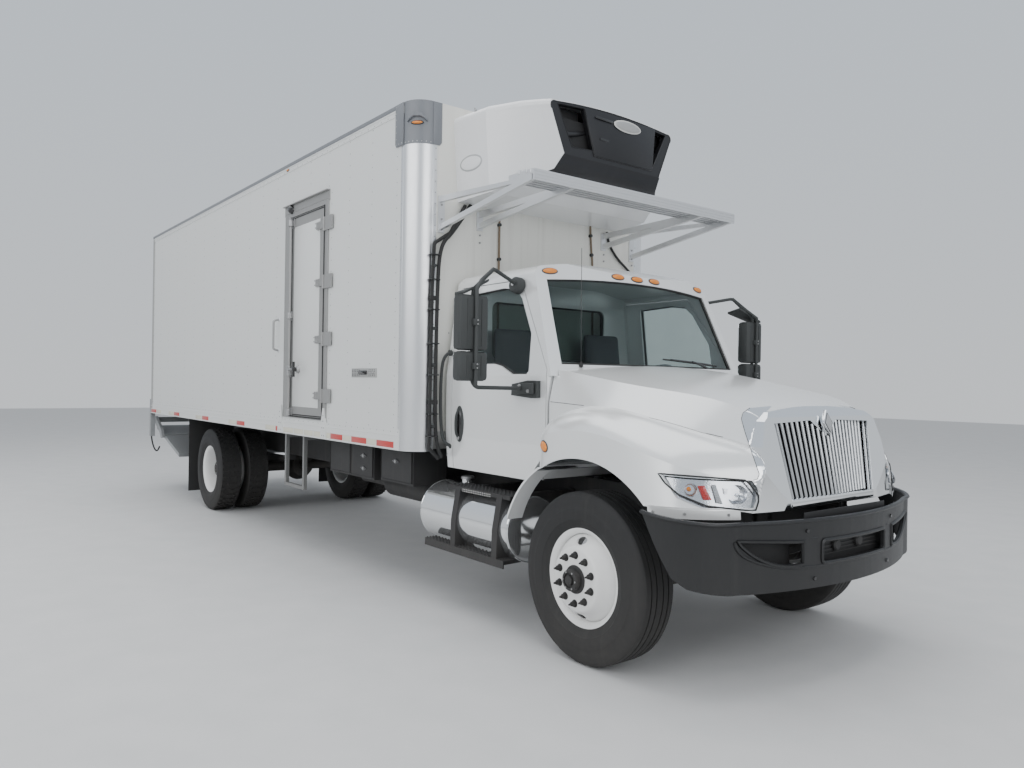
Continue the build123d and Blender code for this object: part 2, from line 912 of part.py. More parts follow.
with BuildPart() as pane_form:
    window_prism(glass_gap, -1100, -700)
with BuildPart() as door_glass_right:
    add(cab_body(glass_depth))
    add(cab_body(glass_depth + glass_thickness), mode=Mode.SUBTRACT)
    add(pane_form.part, mode=Mode.INTERSECT)
finish(door_glass_right.part, "door_glass_right")
mirrored(door_glass_right.part, "door_glass_left")

# Mirrors on the doors: two heads on a bowed tube, with an upper and a lower mount

mirror_reach = 1475.0
mirror_place = 675.0
mirror_tube = 13.0
lower_mount = (behind(680), -cab_half_width - 28, 1636)
upper_mount = (behind(880), -eaves_half_width - 34, 2352)


def tube_path(points, bend, tube_radius):
    """A bent round tube through the points, with the same bend at each corner."""
    with BuildPart() as tube:
        with BuildLine() as path:
            FilletPolyline(*points, radius=bend)
        first = path.wires()[0]
        with BuildSketch(Plane(origin=first @ 0, z_dir=first % 0)) as section:
            Circle(tube_radius)
        sweep(section.sketch, path=first)
    return tube.part


mirror_route = [
    (lower_mount[0], lower_mount[1] + 8, lower_mount[2]),
    (behind(mirror_place), -mirror_reach, 1640),
    (behind(mirror_place), -mirror_reach, 2262),
    (behind(735), -1270, 2420),
    (upper_mount[0], upper_mount[1], upper_mount[2]),
]
mirror_heads = [
    # lowest, highest
    (1686, 1862),
    (1882, 2222),
]
with BuildPart() as mirror_right:
    add(tube_path(mirror_route, 60, mirror_tube))
    for low, high in mirror_heads:
        with BuildSketch(Plane.XY.offset(low)):
            with Locations((behind(mirror_place + 22), -mirror_reach)):
                RectangleRounded(86, 218, 30)
        extrude(amount=high - low)
    # The lower mount's casting stands on the door's skin
    with BuildSketch(Plane.XZ.offset(cab_half_width + glass_gap)):
        with BuildLine():
            Polyline(
                (behind(548), 1576),
                (behind(548), 1688),
                (behind(640), 1690),
                (behind(812), 1664),
                (behind(818), 1588),
                (behind(600), 1572),
                close=True,
            )
        make_face()
    extrude(amount=36)
    # The upper mount stands on the frame above the door's window
    block(
        (upper_mount[0] - 38, upper_mount[0] + 38),
        (upper_mount[1] - 24, upper_mount[1] + 50),
        (upper_mount[2] - 34, upper_mount[2] + 34),
    )
    add(cab_outer, mode=Mode.SUBTRACT)
finish(mirror_right.part, "mirror_right")
mirrored(mirror_right.part, "mirror_left")

# Inside the cab: dashboard with the steering wheel, and two seats

steering_y = 480.0
with BuildPart() as dashboard:
    side_prism(
        [
            (behind(firewall + cab_wall + 0.3), 1420),
            (behind(firewall + cab_wall + 0.3), 1690),
            (behind(firewall + cab_wall + 60), 1740),
            (behind(760), 1690),
            (behind(790), 1560),
            (behind(700), 1420),
        ],
        -860,
        860,
    )
    rod_along((behind(760), steering_y, 1590), (behind(958), steering_y, 1706), 28)
    with BuildSketch(Plane(origin=(behind(958), steering_y, 1706), x_dir=(0, 1, 0), z_dir=(-0.5, 0, 0.866))):
        Circle(222)
        Circle(192, mode=Mode.SUBTRACT)
        Rectangle(400, 46)
    extrude(amount=26, both=True)
finish(dashboard.part, "dashboard")

cab_inner_floor = cab_floor + cab_wall
seat_places = [-480, 480]
with BuildPart() as seats:
    for seat_y in seat_places:
        side_prism(
            [
                (behind(1500), cab_inner_floor + glass_gap),
                (behind(1500), 1420),
                (behind(1000), 1450),
                (behind(980), 1330),
                (behind(1050), cab_inner_floor + glass_gap),
            ],
            seat_y - 250,
            seat_y + 250,
        )
        side_prism(
            [
                (behind(1500), 1418),
                (behind(1390), 1424),
                (behind(1480), 2130),
                (behind(1560), 2130),
                (behind(1570), 1700),
            ],
            seat_y - 235,
            seat_y + 235,
        )
finish(seats.part, "seats")

# Hood: bonnet and fenders in one moulding, open below, at the back and at the grille

hood_back = door_front - hood_gap
bonnet_sections = [
    # place ahead, half width at the crease, crease height, shoulder half width, shoulder height, crown height
    (-hood_back, 1004, 1553, 955, 1762, 1812),
    (-60, 992, 1532, 890, 1702, 1762),
    (340, 915, 1472, 770, 1640, 1690),
    (640, 760, 1402, 640, 1580, 1622),
    (842, 620, 1340, 545, 1478, 1545),
]
fender_sections = [
    # place ahead, top inner (y, z), top outer (y, z), shoulder (y, z), lip (y, z)
    (-hood_back, (975, 1352), (1012, 1348), (1034, 1312), (1040, 1215)),
    (-330, (975, 1478), (1090, 1440), (1150, 1352), (1172, 1215)),
    (0, (960, 1538), (1090, 1490), (1162, 1392), (1182, 1215)),
    (430, (880, 1462), (1030, 1410), (1128, 1310), (1166, 1015)),
    (720, (700, 1372), (880, 1322), (985, 1215), (1050, 1012)),
    (930, (560, 1280), (640, 1230), (690, 1160), (730, 1012)),
]
bonnet_low = 1012.0


def bonnet_solid(wall):
    """The bonnet above and between the fenders, made smaller by a wall."""
    with BuildPart() as solid:
        for place, crease_y, crease_z, shoulder_y, shoulder_z, crown_z in bonnet_sections:
            wide = crease_y - wall
            edge = shoulder_y - wall
            with BuildSketch(Plane.YZ.offset(ahead(place))):
                with BuildLine():
                    Polyline((edge, shoulder_z - wall), (wide, crease_z - wall), (wide, bonnet_low - wall))
                    Line((wide, bonnet_low - wall), (-wide, bonnet_low - wall))
                    Polyline((-wide, bonnet_low - wall), (-wide, crease_z - wall), (-edge, shoulder_z - wall))
                    ThreePointArc((-edge, shoulder_z - wall), (0, crown_z - wall), (edge, shoulder_z - wall))
                make_face()
        loft()
    return solid.part


def fender_solid(wall, side):
    """One fender's bulge beside the bonnet, made smaller by a wall."""
    with BuildPart() as solid:
        for place, top_in, top_out, shoulder, lip in fender_sections:
            low = min(lip[1], 1015) - wall
            with BuildSketch(Plane.YZ.offset(ahead(place))):
                with BuildLine():
                    ThreePointArc(
                        (side * (top_in[0] - wall), top_in[1] - wall),
                        (side * (top_out[0] - wall), top_out[1] - wall),
                        (side * (shoulder[0] - wall), shoulder[1] - wall),
                    )
                    Polyline(
                        (side * (shoulder[0] - wall), shoulder[1] - wall),
                        (side * (lip[0] - wall), low),
                        (side * 400, low),
                        (side * 400, top_in[1] - wall - 80),
                        (side * (top_in[0] - wall), top_in[1] - wall),
                    )
                make_face()
        loft()
    return solid.part


def wheel_arch(radius, y_low, y_high):
    """A wheel's clearance: a cylinder about the axle, open downwards."""
    with BuildPart() as arch:
        with BuildSketch(Plane.XZ.offset(-y_high)):
            with Locations((front_axle_x, tyre_radius)):
                Circle(radius)
            with Locations((front_axle_x, tyre_radius - 400)):
                Rectangle(2 * radius, 800)
        extrude(amount=y_high - y_low)
    return arch.part


tail_wall = 14.0
tail_inner = cab_half_width + 46
tail_low_angle = math.radians(24)
tail_mid_angle = math.radians(40)
tail_high_angle = math.radians(60)


def arch_point(radius, angle):
    """A place on a circle about the front axle, at an angle above it on the rear side."""
    return (behind(radius * math.cos(angle)), tyre_radius + radius * math.sin(angle))


panel_seat = 0.3
lamp_outline = [(585, 1184), (905, 1168), (924, 1120), (924, 1024), (770, 1024), (665, 1072)]


def lamp_prism(grow, mode=Mode.ADD):
    """The headlamps' outline from the side, grown all round by a gap."""
    with BuildSketch(Plane.XZ.offset(-1300)) as outline:
        with BuildLine():
            Polyline(*[(ahead(x), z) for x, z in lamp_outline], close=True)
        make_face()
        if grow:
            offset(amount=grow, kind=Kind.INTERSECTION, mode=Mode.REPLACE)
    extrude(outline.sketch, amount=2600, mode=mode)


# Chrome grille surround: its outline, its opening and the slope of its face

grille_top_half = 502.0
grille_foot_half = 441.0
grille_top = 1467.0
grille_foot = 1044.0
notch_half = 140.0
notch_foot = 1386.0
notch_top = grille_top + 12
surround_gap = 0.3
surround_back = 820.0


def grille_face(height):
    """How far ahead the grille's face is at a height: it leans back towards its top."""
    return 948 - (height - grille_foot) * 0.19


def surround_prism(grow, start, mode=Mode.ADD):
    """The surround's outline from the front, grown all round, from a place forwards."""
    with BuildSketch(Plane.YZ.offset(ahead(start))) as outline:
        with BuildLine():
            Polyline((-640, 1340), (-590, 1478), (-520, 1528))
            ThreePointArc((-520, 1528), (0, 1562), (520, 1528))
            Polyline((520, 1528), (590, 1478), (640, 1340), (660, 1180), (735, 1012), (735, 992), (-735, 992))
            Polyline((-735, 992), (-735, 1012), (-660, 1180), (-640, 1340))
        make_face()
        if grow:
            offset(amount=grow, kind=Kind.INTERSECTION, mode=Mode.REPLACE)
    extrude(outline.sketch, amount=300, mode=mode)


with BuildPart() as hood:
    add(bonnet_solid(0))
    for side in (-1, 1):
        add(fender_solid(0, side))
    add(bonnet_solid(hood_wall), mode=Mode.SUBTRACT)
    for side in (-1, 1):
        add(fender_solid(hood_wall, side), mode=Mode.SUBTRACT)
    # The fenders' tails sweep down behind the wheels, outside the cab
    for side in (-1, 1):
        low_y, high_y = sorted((side * tail_inner, side * fender_half_width))
        outer = arch_radius + tail_wall
        inner_foot = arch_point(arch_radius, tail_low_angle)
        outer_foot = arch_point(outer, tail_low_angle)
        inner_head = arch_point(arch_radius, tail_high_angle)
        outer_head = arch_point(outer, tail_high_angle)
        with BuildSketch(Plane.XZ.offset(-high_y)):
            with BuildLine():
                Polyline(inner_foot, (inner_foot[0], tail_bottom), (outer_foot[0], tail_bottom), outer_foot)
                ThreePointArc(outer_foot, arch_point(outer, tail_mid_angle), outer_head)
                Line(outer_head, inner_head)
                ThreePointArc(inner_head, arch_point(arch_radius, tail_mid_angle), inner_foot)
            make_face()
        extrude(amount=high_y - low_y)
        add(wheel_arch(arch_radius, *sorted((side * 620, side * 1400))), mode=Mode.SUBTRACT)
    add(cab_body(-hood_gap), mode=Mode.SUBTRACT)
    lamp_prism(panel_seat, mode=Mode.SUBTRACT)
    surround_prism(surround_gap, surround_back - surround_gap, mode=Mode.SUBTRACT)
finish(hood.part, "hood")

lamp_depth = 60.0
with BuildPart() as headlamps:
    for side in (-1, 1):
        add(fender_solid(0.5, side))
    for side in (-1, 1):
        add(fender_solid(lamp_depth, side), mode=Mode.SUBTRACT)
    lamp_prism(0, mode=Mode.INTERSECT)
    surround_prism(2.0, surround_back - 60, mode=Mode.SUBTRACT)
finish(headlamps.part, "headlamps")

with BuildPart() as surround_front:
    side_prism(
        [
            (ahead(700), 1600),
            (ahead(760), 1600),
            (ahead(820), 1560),
            (ahead(868), 1500),
            (ahead(grille_face(1440) + 8), 1440),
            (ahead(grille_face(grille_foot) + 8), grille_foot),
            (ahead(950), 985),
            (ahead(700), 985),
        ],
        -800,
        800,
    )
    with BuildSketch(Plane.XY.offset(900)):
        with BuildLine():
            ThreePointArc((ahead(905), -745), (ahead(990), 0), (ahead(905), 745))
            Polyline((ahead(905), 745), (ahead(700), 745), (ahead(700), -745), (ahead(905), -745))
        make_face()
    extrude(amount=800, mode=Mode.INTERSECT)

with BuildPart() as grille_surround:
    surround_prism(0, surround_back)
    with BuildSketch(Plane.YZ.offset(ahead(surround_back))):
        with BuildLine():
            Polyline(
                (-grille_top_half, grille_top),
                (-grille_foot_half, grille_foot),
                (grille_foot_half, grille_foot),
                (grille_top_half, grille_top),
                (notch_half, notch_top),
                (0, notch_foot),
                (-notch_half, notch_top),
                close=True,
            )
        make_face()
    extrude(amount=300, mode=Mode.SUBTRACT)
    add(surround_front.part, mode=Mode.INTERSECT)
finish(grille_surround.part, "grille_surround")

bar_count = 11
bar_width = 31.0
bar_depth = 26.0
bar_set_back = 58.0
prow = 46.0


def opening_top(across):
    """The height of the grille opening's top edge at a place across the truck."""
    inner_edge = abs(across) - bar_width / 2
    if inner_edge < notch_half:
        return notch_foot + (notch_top - notch_foot) * max(inner_edge, 0.0) / notch_half
    return grille_top + (notch_top - grille_top) * (grille_top_half - inner_edge) / (grille_top_half - notch_half)


with BuildPart() as grille_bars:
    for side in (-1, 1):
        for index in range(bar_count):
            share = (index + 0.5) / bar_count
            lead = prow * (1 - share)
            top_y = side * (grille_top_half - 8) * share
            foot_y = side * (grille_foot_half - 8) * share
            foot_z = grille_foot + surround_gap
            top_z = opening_top(top_y) - 6
            with BuildSketch(Plane.XY.offset(foot_z)):
                with Locations((ahead(grille_face(foot_z) - bar_set_back + lead), foot_y)):
                    Rectangle(bar_depth, bar_width)
            with BuildSketch(Plane.XY.offset(top_z)):
                with Locations((ahead(grille_face(top_z) - bar_set_back + lead), top_y)):
                    Rectangle(bar_depth, bar_width)
            loft(ruled=True)
    # Two carriers behind the bars, bent to the prow
    for height, half in ((1130, 448), (1350, 478)):
        back = grille_face(height) - bar_set_back
        with BuildSketch(Plane.XY.offset(height)):
            with BuildLine():
                Polyline(
                    (ahead(back - 26), -half),
                    (ahead(back - 26 + prow), 0),
                    (ahead(back - 26), half),
                    (ahead(back - 6), half),
                    (ahead(back - 6 + prow), 0),
                    (ahead(back - 6), -half),
                    close=True,
                )
            make_face()
        extrude(amount=22)
finish(grille_bars.part, "grille_bars")

# Hinge frame: a crossbar behind the grille's foot, with bent arms to the pivot pins
arm_back = 672.0
arm_width = 44.0
with BuildPart() as hood_frame:
    bar_front = surround_back - surround_gap
    block((ahead(775), ahead(bar_front)), (-640, 640), (1004, 1046))
    for side in (-1, 1):
        low_y, high_y = sorted((side * (frame_half_width + 12), side * (frame_half_width + 32)))
        side_prism(
            [
                (ahead(hood_pivot_ahead + 28), hood_pivot_height),
                (ahead(hood_pivot_ahead), hood_pivot_height - 28),
                (ahead(hood_pivot_ahead - 40), hood_pivot_height - 20),
                (ahead(arm_back), hood_pivot_height + 102),
                (ahead(arm_back), 1046),
                (ahead(bar_front), 1046),
                (ahead(bar_front), 1004),
                (ahead(arm_back + arm_width), 1004),
                (ahead(arm_back + arm_width), hood_pivot_height + 126),
                (ahead(hood_pivot_ahead), hood_pivot_height + 28),
            ],
            low_y,
            high_y,
        )
        rod_along(
            (ahead(hood_pivot_ahead), low_y - 1, hood_pivot_height),
            (ahead(hood_pivot_ahead), high_y + 1, hood_pivot_height),
            hood_pin,
            mode=Mode.SUBTRACT,
        )
finish(hood_frame.part, "hood_frame")

# Insulated box: floor, walls, roof and the rails and posts that join them

box_rear = box_front + box_length
panel_gap = 0.3
rail_inner = box_half_width - side_wall
wall_front = box_front + corner_radius
wall_rear = box_rear - rear_frame_depth
wall_low = box_bottom + bottom_rail_height
wall_high = box_top - top_rail_height
sill_half = frame_half_width - 10
front_half = box_half_width - corner_radius - panel_gap
wall_rebate = 12.0
with BuildPart() as box_floor:
    block(
        (behind(wall_rear), behind(wall_front + panel_gap)),
        (-rail_inner + panel_gap, rail_inner - panel_gap),
        (box_bottom + 60, floor_top),
    )
    block(
        (behind(wall_front + 1), behind(box_front)),
        (-front_half, front_half),
        (box_bottom + 60, floor_top),
    )
    # The front wall stands in a rebate, so the load floor is one clear face
    block(
        (behind(box_front + front_wall + panel_gap), behind(box_front - 1)),
        (-front_half - 1, front_half + 1),
        (floor_top - wall_rebate, floor_top + 1),
        mode=Mode.SUBTRACT,
    )
    # Crossmembers below the floor, and two long sills on the ladder frame
    cross_count = 22
    for index in range(cross_count):
        place = wall_front + 40 + index * (wall_rear - wall_front - 120) / (cross_count - 1)
        block(
            (behind(place) - 22, behind(place) + 22),
            (-rail_inner + panel_gap, rail_inner - panel_gap),
            (box_bottom, box_bottom + 60),
        )
    for side in (-1, 1):
        block(
            (behind(wall_rear), behind(box_front)),
            (side * (sill_half - 60), side * sill_half),
            (rail_top + panel_gap, box_bottom + 60),
        )
finish(box_floor.part, "box_floor")

with BuildPart() as box_front_wall:
    block(
        (behind(box_front + front_wall), behind(box_front)),
        (-front_half, front_half),
        (floor_top - wall_rebate + panel_gap, box_top),
    )
finish(box_front_wall.part, "box_front_wall")

with BuildPart() as box_roof:
    block(
        (behind(wall_rear), behind(wall_front + panel_gap)),
        (-rail_inner + panel_gap, rail_inner - panel_gap),
        (box_top - roof_thickness, box_top),
    )
    block(
        (behind(wall_front + 1), behind(box_front + front_wall + panel_gap)),
        (-front_half, front_half),
        (box_top - roof_thickness, box_top),
    )
finish(box_roof.part, "box_roof")

with BuildPart() as box_wall_left:
    block(
        (behind(wall_rear), behind(wall_front + panel_gap)),
        (rail_inner, box_half_width),
        (wall_low + panel_gap, wall_high - panel_gap),
    )
finish(box_wall_left.part, "box_wall_left")

with BuildPart() as box_wall_right:
    block(
        (behind(wall_rear), behind(wall_front + panel_gap)),
        (-box_half_width, -rail_inner),
        (wall_low + panel_gap, wall_high - panel_gap),
    )
    block(
        (behind(side_frame_rear), behind(side_frame_front)),
        (-box_half_width - 10, -rail_inner + 10),
        (side_frame_bottom, side_frame_top),
        mode=Mode.SUBTRACT,
    )
finish(box_wall_right.part, "box_wall_right")

gusset_places = [3256, 4286]
with BuildPart() as side_rails:
    for side in (-1, 1):
        for low, high in ((box_bottom, wall_low), (wall_high, box_top)):
            block(
                (behind(wall_rear), behind(wall_front + panel_gap)),
                (side * rail_inner, side * (box_half_width + rail_proud)),
                (low, high),
            )
    # Gussets below the side door's corners
    for place in gusset_places:
        with BuildSketch(Plane.XZ.offset(box_half_width + rail_proud)):
            with BuildLine():
                Polyline(
                    (behind(place + 62), box_bottom + 4),
                    (behind(place + 46), 1300),
                    (behind(place + 16), 1418),
                    (behind(place - 16), 1418),
                    (behind(place - 46), 1300),
                    (behind(place - 62), box_bottom + 4),
                    close=True,
                )
            make_face()
        extrude(amount=10)
    block(
        (behind(side_frame_rear), behind(side_frame_front)),
        (-box_half_width - 8 - panel_gap, -rail_inner),
        (side_frame_bottom, side_frame_top),
        mode=Mode.SUBTRACT,
    )
finish(side_rails.part, "side_rails")

post_top = box_top - cap_height
with BuildPart() as corner_posts:
    for side in (-1, 1):
        with BuildSketch(Plane.XY.offset(box_bottom)):
            with BuildLine():
                centre_x = behind(wall_front)
                centre_y = side * (box_half_width - corner_radius)
                bend = corner_radius * math.sqrt(0.5)
                inner_radius = corner_radius - corner_wall
                inner_bend = inner_radius * math.sqrt(0.5)
                ThreePointArc(
                    (centre_x + corner_radius, centre_y),
                    (centre_x + bend, centre_y + side * bend),
                    (centre_x, centre_y + side * corner_radius),
                )
                Line((centre_x, centre_y + side * corner_radius), (centre_x, centre_y + side * inner_radius))
                ThreePointArc(
                    (centre_x, centre_y + side * inner_radius),
                    (centre_x + inner_bend, centre_y + side * inner_bend),
                    (centre_x + inner_radius, centre_y),
                )
                Line((centre_x + inner_radius, centre_y), (centre_x + corner_radius, centre_y))
            make_face()
        extrude(amount=post_top - box_bottom)
finish(corner_posts.part, "corner_posts")

with BuildPart() as corner_caps:
    for side in (-1, 1):
        centre_x = behind(wall_front)
        centre_y = side * (box_half_width - corner_radius)
        with BuildSketch(Plane.XY.offset(post_top + panel_gap)):
            with BuildLine():
                bend = corner_radius * math.sqrt(0.5)
                Line((centre_x, centre_y), (centre_x + corner_radius, centre_y))
                ThreePointArc(
                    (centre_x + corner_radius, centre_y),
                    (centre_x + bend, centre_y + side * bend),
                    (centre_x, centre_y + side * corner_radius),
                )
                Line((centre_x, centre_y + side * corner_radius), (centre_x, centre_y))
            make_face()
        extrude(amount=cap_height - panel_gap)
finish(corner_caps.part, "corner_caps")

# Rear frame with the roll-up door's curtain of sections inside it
door_opening_half = box_half_width - rear_post_width
header_low = box_top - rear_header
curtain_sections = 6
with BuildPart() as rear_frame:
    frame_half = box_half_width + rail_proud
    block((behind(box_rear), behind(wall_rear + panel_gap)), (-frame_half, frame_half), (box_bottom, box_top))
    block(
        (behind(box_rear) - 1, behind(wall_rear) + 1),
        (-door_opening_half, door_opening_half),
        (floor_top, header_low),
        mode=Mode.SUBTRACT,
    )
finish(rear_frame.part, "rear_frame")

with BuildPart() as rear_door:
    section_height = (header_low - floor_top) / curtain_sections
    for index in range(curtain_sections):
        low = floor_top + index * section_height
        block(
            (behind(wall_rear + 52), behind(wall_rear + 8)),
            (-door_opening_half + panel_gap, door_opening_half - panel_gap),
            (low + panel_gap, low + section_height - panel_gap),
        )
        block(
            (behind(wall_rear + 46), behind(wall_rear + 14)),
            (-door_opening_half + 20, door_opening_half - 20),
            (low + panel_gap, min(low + section_height + 6, header_low - panel_gap)),
        )
finish(rear_door.part, "rear_door")

# Side door: its frame in the wall, the leaf, the lock rod and the strap hinges
leaf_rear = side_door_front + side_door_width
leaf_back = rail_inner + 4
hinge_heights = [1529, 2046, 2569, 3097]
strap_back = -box_half_width - 8
fixed_knuckle = 25.0
hinge_pin_x = behind(side_door_front - 14)
hinge_pin_y = strap_back - side_hinge_pin - 1
lock_rod_x = behind(leaf_rear - 34)
lock_rod_y = -box_half_width - 30
with BuildPart() as side_door_frame:
    block(
        (behind(side_frame_rear - panel_gap), behind(side_frame_front + panel_gap)),
        (-box_half_width - 8, -rail_inner),
        (side_frame_bottom + panel_gap, side_frame_top - panel_gap),
    )
    block(
        (behind(leaf_rear + side_door_gap), behind(side_door_front - side_door_gap)),
        (-box_half_width - 20, -rail_inner + 10),
        (side_door_bottom - side_door_gap, side_door_top + side_door_gap),
        mode=Mode.SUBTRACT,
    )
    # Drip rail above the door
    block((behind(4238), behind(3202)), (-box_half_width - 34, -box_half_width), (3392, 3400))
    block((behind(4238), behind(3202)), (-box_half_width - 8, -box_half_width), (side_frame_top - 20, 3400))
    # The fixed straps of the four hinges, with their pins
    for height in hinge_heights:
        low = height - side_hinge_height / 2
        block(
            (hinge_pin_x + 8, hinge_pin_x + side_hinge_reach),
            (hinge_pin_y, strap_back + 0.5),
            (low, low + side_hinge_height),
        )
        rod_along(
            (hinge_pin_x, hinge_pin_y, low + 1),
            (hinge_pin_x, hinge_pin_y, low + side_hinge_height - 1),
            side_hinge_pin - 3,
        )
        block(
            (hinge_pin_x - side_hinge_pin - 2, hinge_pin_x + side_hinge_pin + 2),
            (hinge_pin_y - side_hinge_pin - 2, strap_back - 0.5),
            (low + fixed_knuckle, low + side_hinge_height - fixed_knuckle),
            mode=Mode.SUBTRACT,
        )
        rod_along(
            (hinge_pin_x, hinge_pin_y, low + 1),
            (hinge_pin_x, hinge_pin_y, low + side_hinge_height - 1),
            side_hinge_pin - 3,
        )
        for knuckle_low in (low, low + side_hinge_height - fixed_knuckle):
            rod_along(
                (hinge_pin_x, hinge_pin_y, knuckle_low),
                (hinge_pin_x, hinge_pin_y, knuckle_low + fixed_knuckle),
                side_hinge_pin,
            )
finish(side_door_frame.part, "side_door_frame")

with BuildPart() as side_door:
    block(
        (behind(leaf_rear), behind(side_door_front)),
        (-box_half_width - 2, -leaf_back),
        (side_door_bottom, side_door_top),
    )
    rod_along(
        (lock_rod_x, lock_rod_y, side_door_bottom + 6),
        (lock_rod_x, lock_rod_y, side_door_top - 8),
        13,
    )
    for height in (side_door_bottom + 30, side_door_bottom + 420, 2300, side_door_top - 60):
        block(
            (lock_rod_x - 24, lock_rod_x + 24),
            (lock_rod_y - 12, -box_half_width - 1),
            (height - 22, height + 22),
        )
    for height in hinge_heights:
        low = height - side_hinge_height / 2 + fixed_knuckle + 3
        high = height + side_hinge_height / 2 - fixed_knuckle - 3
        block(
            (hinge_pin_x - side_hinge_reach, hinge_pin_x - side_hinge_pin - 3),
            (hinge_pin_y, -box_half_width - 1),
            (low, high),
        )
        block((hinge_pin_x - side_hinge_pin - 4, hinge_pin_x), (hinge_pin_y, hinge_pin_y + 9), (low, high))
        rod_along((hinge_pin_x, hinge_pin_y, low), (hinge_pin_x, hinge_pin_y, high), side_hinge_pin)
        rod_along(
            (hinge_pin_x, hinge_pin_y, low - 1),
            (hinge_pin_x, hinge_pin_y, high + 1),
            side_hinge_pin - 3 + running_gap,
            mode=Mode.SUBTRACT,
        )
finish(side_door.part, "side_door")

# Hoop step below the side door
with BuildPart() as hoop_step:
    for place in (3874, 4319):
        block((behind(place) - 18, behind(place) + 18), (-1230, -1195), (600, box_bottom - panel_gap))
    block((behind(4319), behind(3874)), (-1230, -1195), (600, 632))
    for place in (3874, 4319):
        block((behind(place) - 18, behind(place) + 18), (-1195, -sill_half - panel_gap), (1085, box_bottom - panel_gap))
finish(hoop_step.part, "hoop_step")

# Refrigeration unit on the front wall: white moulding, dark front panel and the core inside

unit_sections = [
    # place behind, half width at the bottom, bottom height, half width at the top, top height
    (box_front - panel_gap, 900, box_top - 744, 950, box_top - 77),
    (1376, 850, box_top - 717, 900, box_top - 71),
    (1120, 690, box_top - 639, 800, box_top - 77),
    (981, 549, box_top - 567, 712, box_top - 83),
    (912, 521, box_top - 472, 672, box_top - 91),
]
unit_wall = 9.0
unit_shoulder = 60.0
unit_crown = 34.0


def unit_form(inset):
    """The unit's outer form, made smaller by an inset."""
    with BuildPart() as form:
        for place, low_half, low, top_half, top in unit_sections:
            foot = low_half - inset
            head = top_half - inset
            high = top - inset
            slope = foot + (head - foot) * (high - unit_shoulder - low) / (high - low)
            bend = unit_shoulder * 0.29
            with BuildSketch(Plane.YZ.offset(behind(place))):
                with BuildLine():
                    Line((-foot, low + inset), (foot, low + inset))
                    Line((foot, low + inset), (slope, high - unit_shoulder))
                    ThreePointArc(
                        (slope, high - unit_shoulder),
                        (head - bend, high - bend),
                        (head - unit_shoulder, high),
                    )
                    ThreePointArc(
                        (head - unit_shoulder, high),
                        (0, high + unit_crown),
                        (-head + unit_shoulder, high),
                    )
                    ThreePointArc(
                        (-head + unit_shoulder, high),
                        (-head + bend, high - bend),
                        (-slope, high - unit_shoulder),
                    )
                    Line((-slope, high - unit_shoulder), (-foot, low + inset))
                make_face()
        loft(ruled=True)
    return form.part


with BuildPart() as unit_shroud:
    add(unit_form(0))
    add(unit_form(unit_wall), mode=Mode.SUBTRACT)
finish(unit_shroud.part, "unit_shroud")

unit_face_back = 958.0
with BuildPart() as unit_front:
    add(unit_form(unit_wall + 0.3))
    block((behind(unit_face_back), behind(900)), (-900, 900), (box_top - 800, box_top + 100), mode=Mode.INTERSECT)
    with BuildSketch(Plane.YZ.offset(behind(unit_face_back + 1))):
        for side in (-1, 1):
            with BuildLine():
                Polyline(
                    (side * 584, box_top - 113),
                    (side * 315, box_top - 93),
                    (side * 212, box_top - 388),
                    (side * 436, box_top - 404),
                    close=True,
                )
            make_face()
    extrude(amount=100, mode=Mode.SUBTRACT)
finish(unit_front.part, "unit_front")

with BuildPart() as unit_core:
    core_back = behind(box_front - panel_gap)
    block((core_back, behind(unit_face_back + 10)), (-500, 500), (box_top - 519, box_top - 179))
    block((core_back, behind(1400)), (-780, 780), (box_top - 689, box_top - 189))
finish(unit_core.part, "unit_core")

# Platform below the unit, on braced arms from the wall
plank_front = 578.0
plank_rear = 850.0
plank_half = 1070.0
plank_top = 3091.0
platform_wall = box_front - 0.3
arm_rows = [
    # across, arm thickness, wall top, wall foot, brace foot
    (1055, 30, 3110, 2826, 2847),
    (690, 30, 3038, 2888, 2903),
]
with BuildPart() as unit_platform:
    block((behind(plank_rear), behind(plank_front)), (-plank_half, plank_half), (plank_top - 34, plank_top))
    block((behind(plank_front + 12), behind(plank_front)), (-plank_half, plank_half), (3015, plank_top))
    for rib in range(5):
        place = plank_rear - 24 - rib * 46
        block((behind(place + 7), behind(place - 7)), (-plank_half, plank_half), (plank_top - 52, plank_top - 30))
    for across, thick, wall_top, wall_foot, brace_foot in arm_rows:
        for side in (-1, 1):
            low_y = side * across - thick / 2
            high_y = side * across + thick / 2
            block((behind(platform_wall), behind(platform_wall - 12)), (low_y - 14, high_y + 14), (wall_foot, wall_top))
            side_prism(
                [
                    (behind(platform_wall), wall_top - 46),
                    (behind(platform_wall), wall_top),
                    (behind(plank_rear - 8), plank_top - 33),
                    (behind(plank_front + 20), plank_top - 33),
                    (behind(plank_front + 20), 3020),
                ],
                low_y,
                high_y,
            )
            side_prism(
                [
                    (behind(platform_wall), brace_foot),
                    (behind(platform_wall), brace_foot + 40),
                    (behind(plank_front + 60), 3056),
                    (behind(plank_front + 20), 3056),
                    (behind(plank_front + 20), 3020),
                ],
                low_y,
                high_y,
            )
finish(unit_platform.part, "unit_platform")

# Hoses from the unit down the front wall's right corner
hose_x = behind(1700)
with BuildPart() as wall_hoses:
    hose_route = [
        (hose_x, -846, 3064),
        (hose_x, -985, 2830),
        (hose_x, -1127, 2735),
        (hose_x, -1141, 2377),
        (hose_x, -1150, 1161),
        (hose_x, -1063, 1080),
    ]
    add(tube_path(hose_route, 45, 14))
    for height in (2300, 1500):
        block((behind(box_front - 0.5), hose_x + 16), (-1118, -1086), (height, height + 30))
        block((hose_x - 16, hose_x + 16), (-1160, -1086), (height, height + 30))
finish(wall_hoses.part, "wall_hoses")

# Fuel tank on the right, with straps and two steps

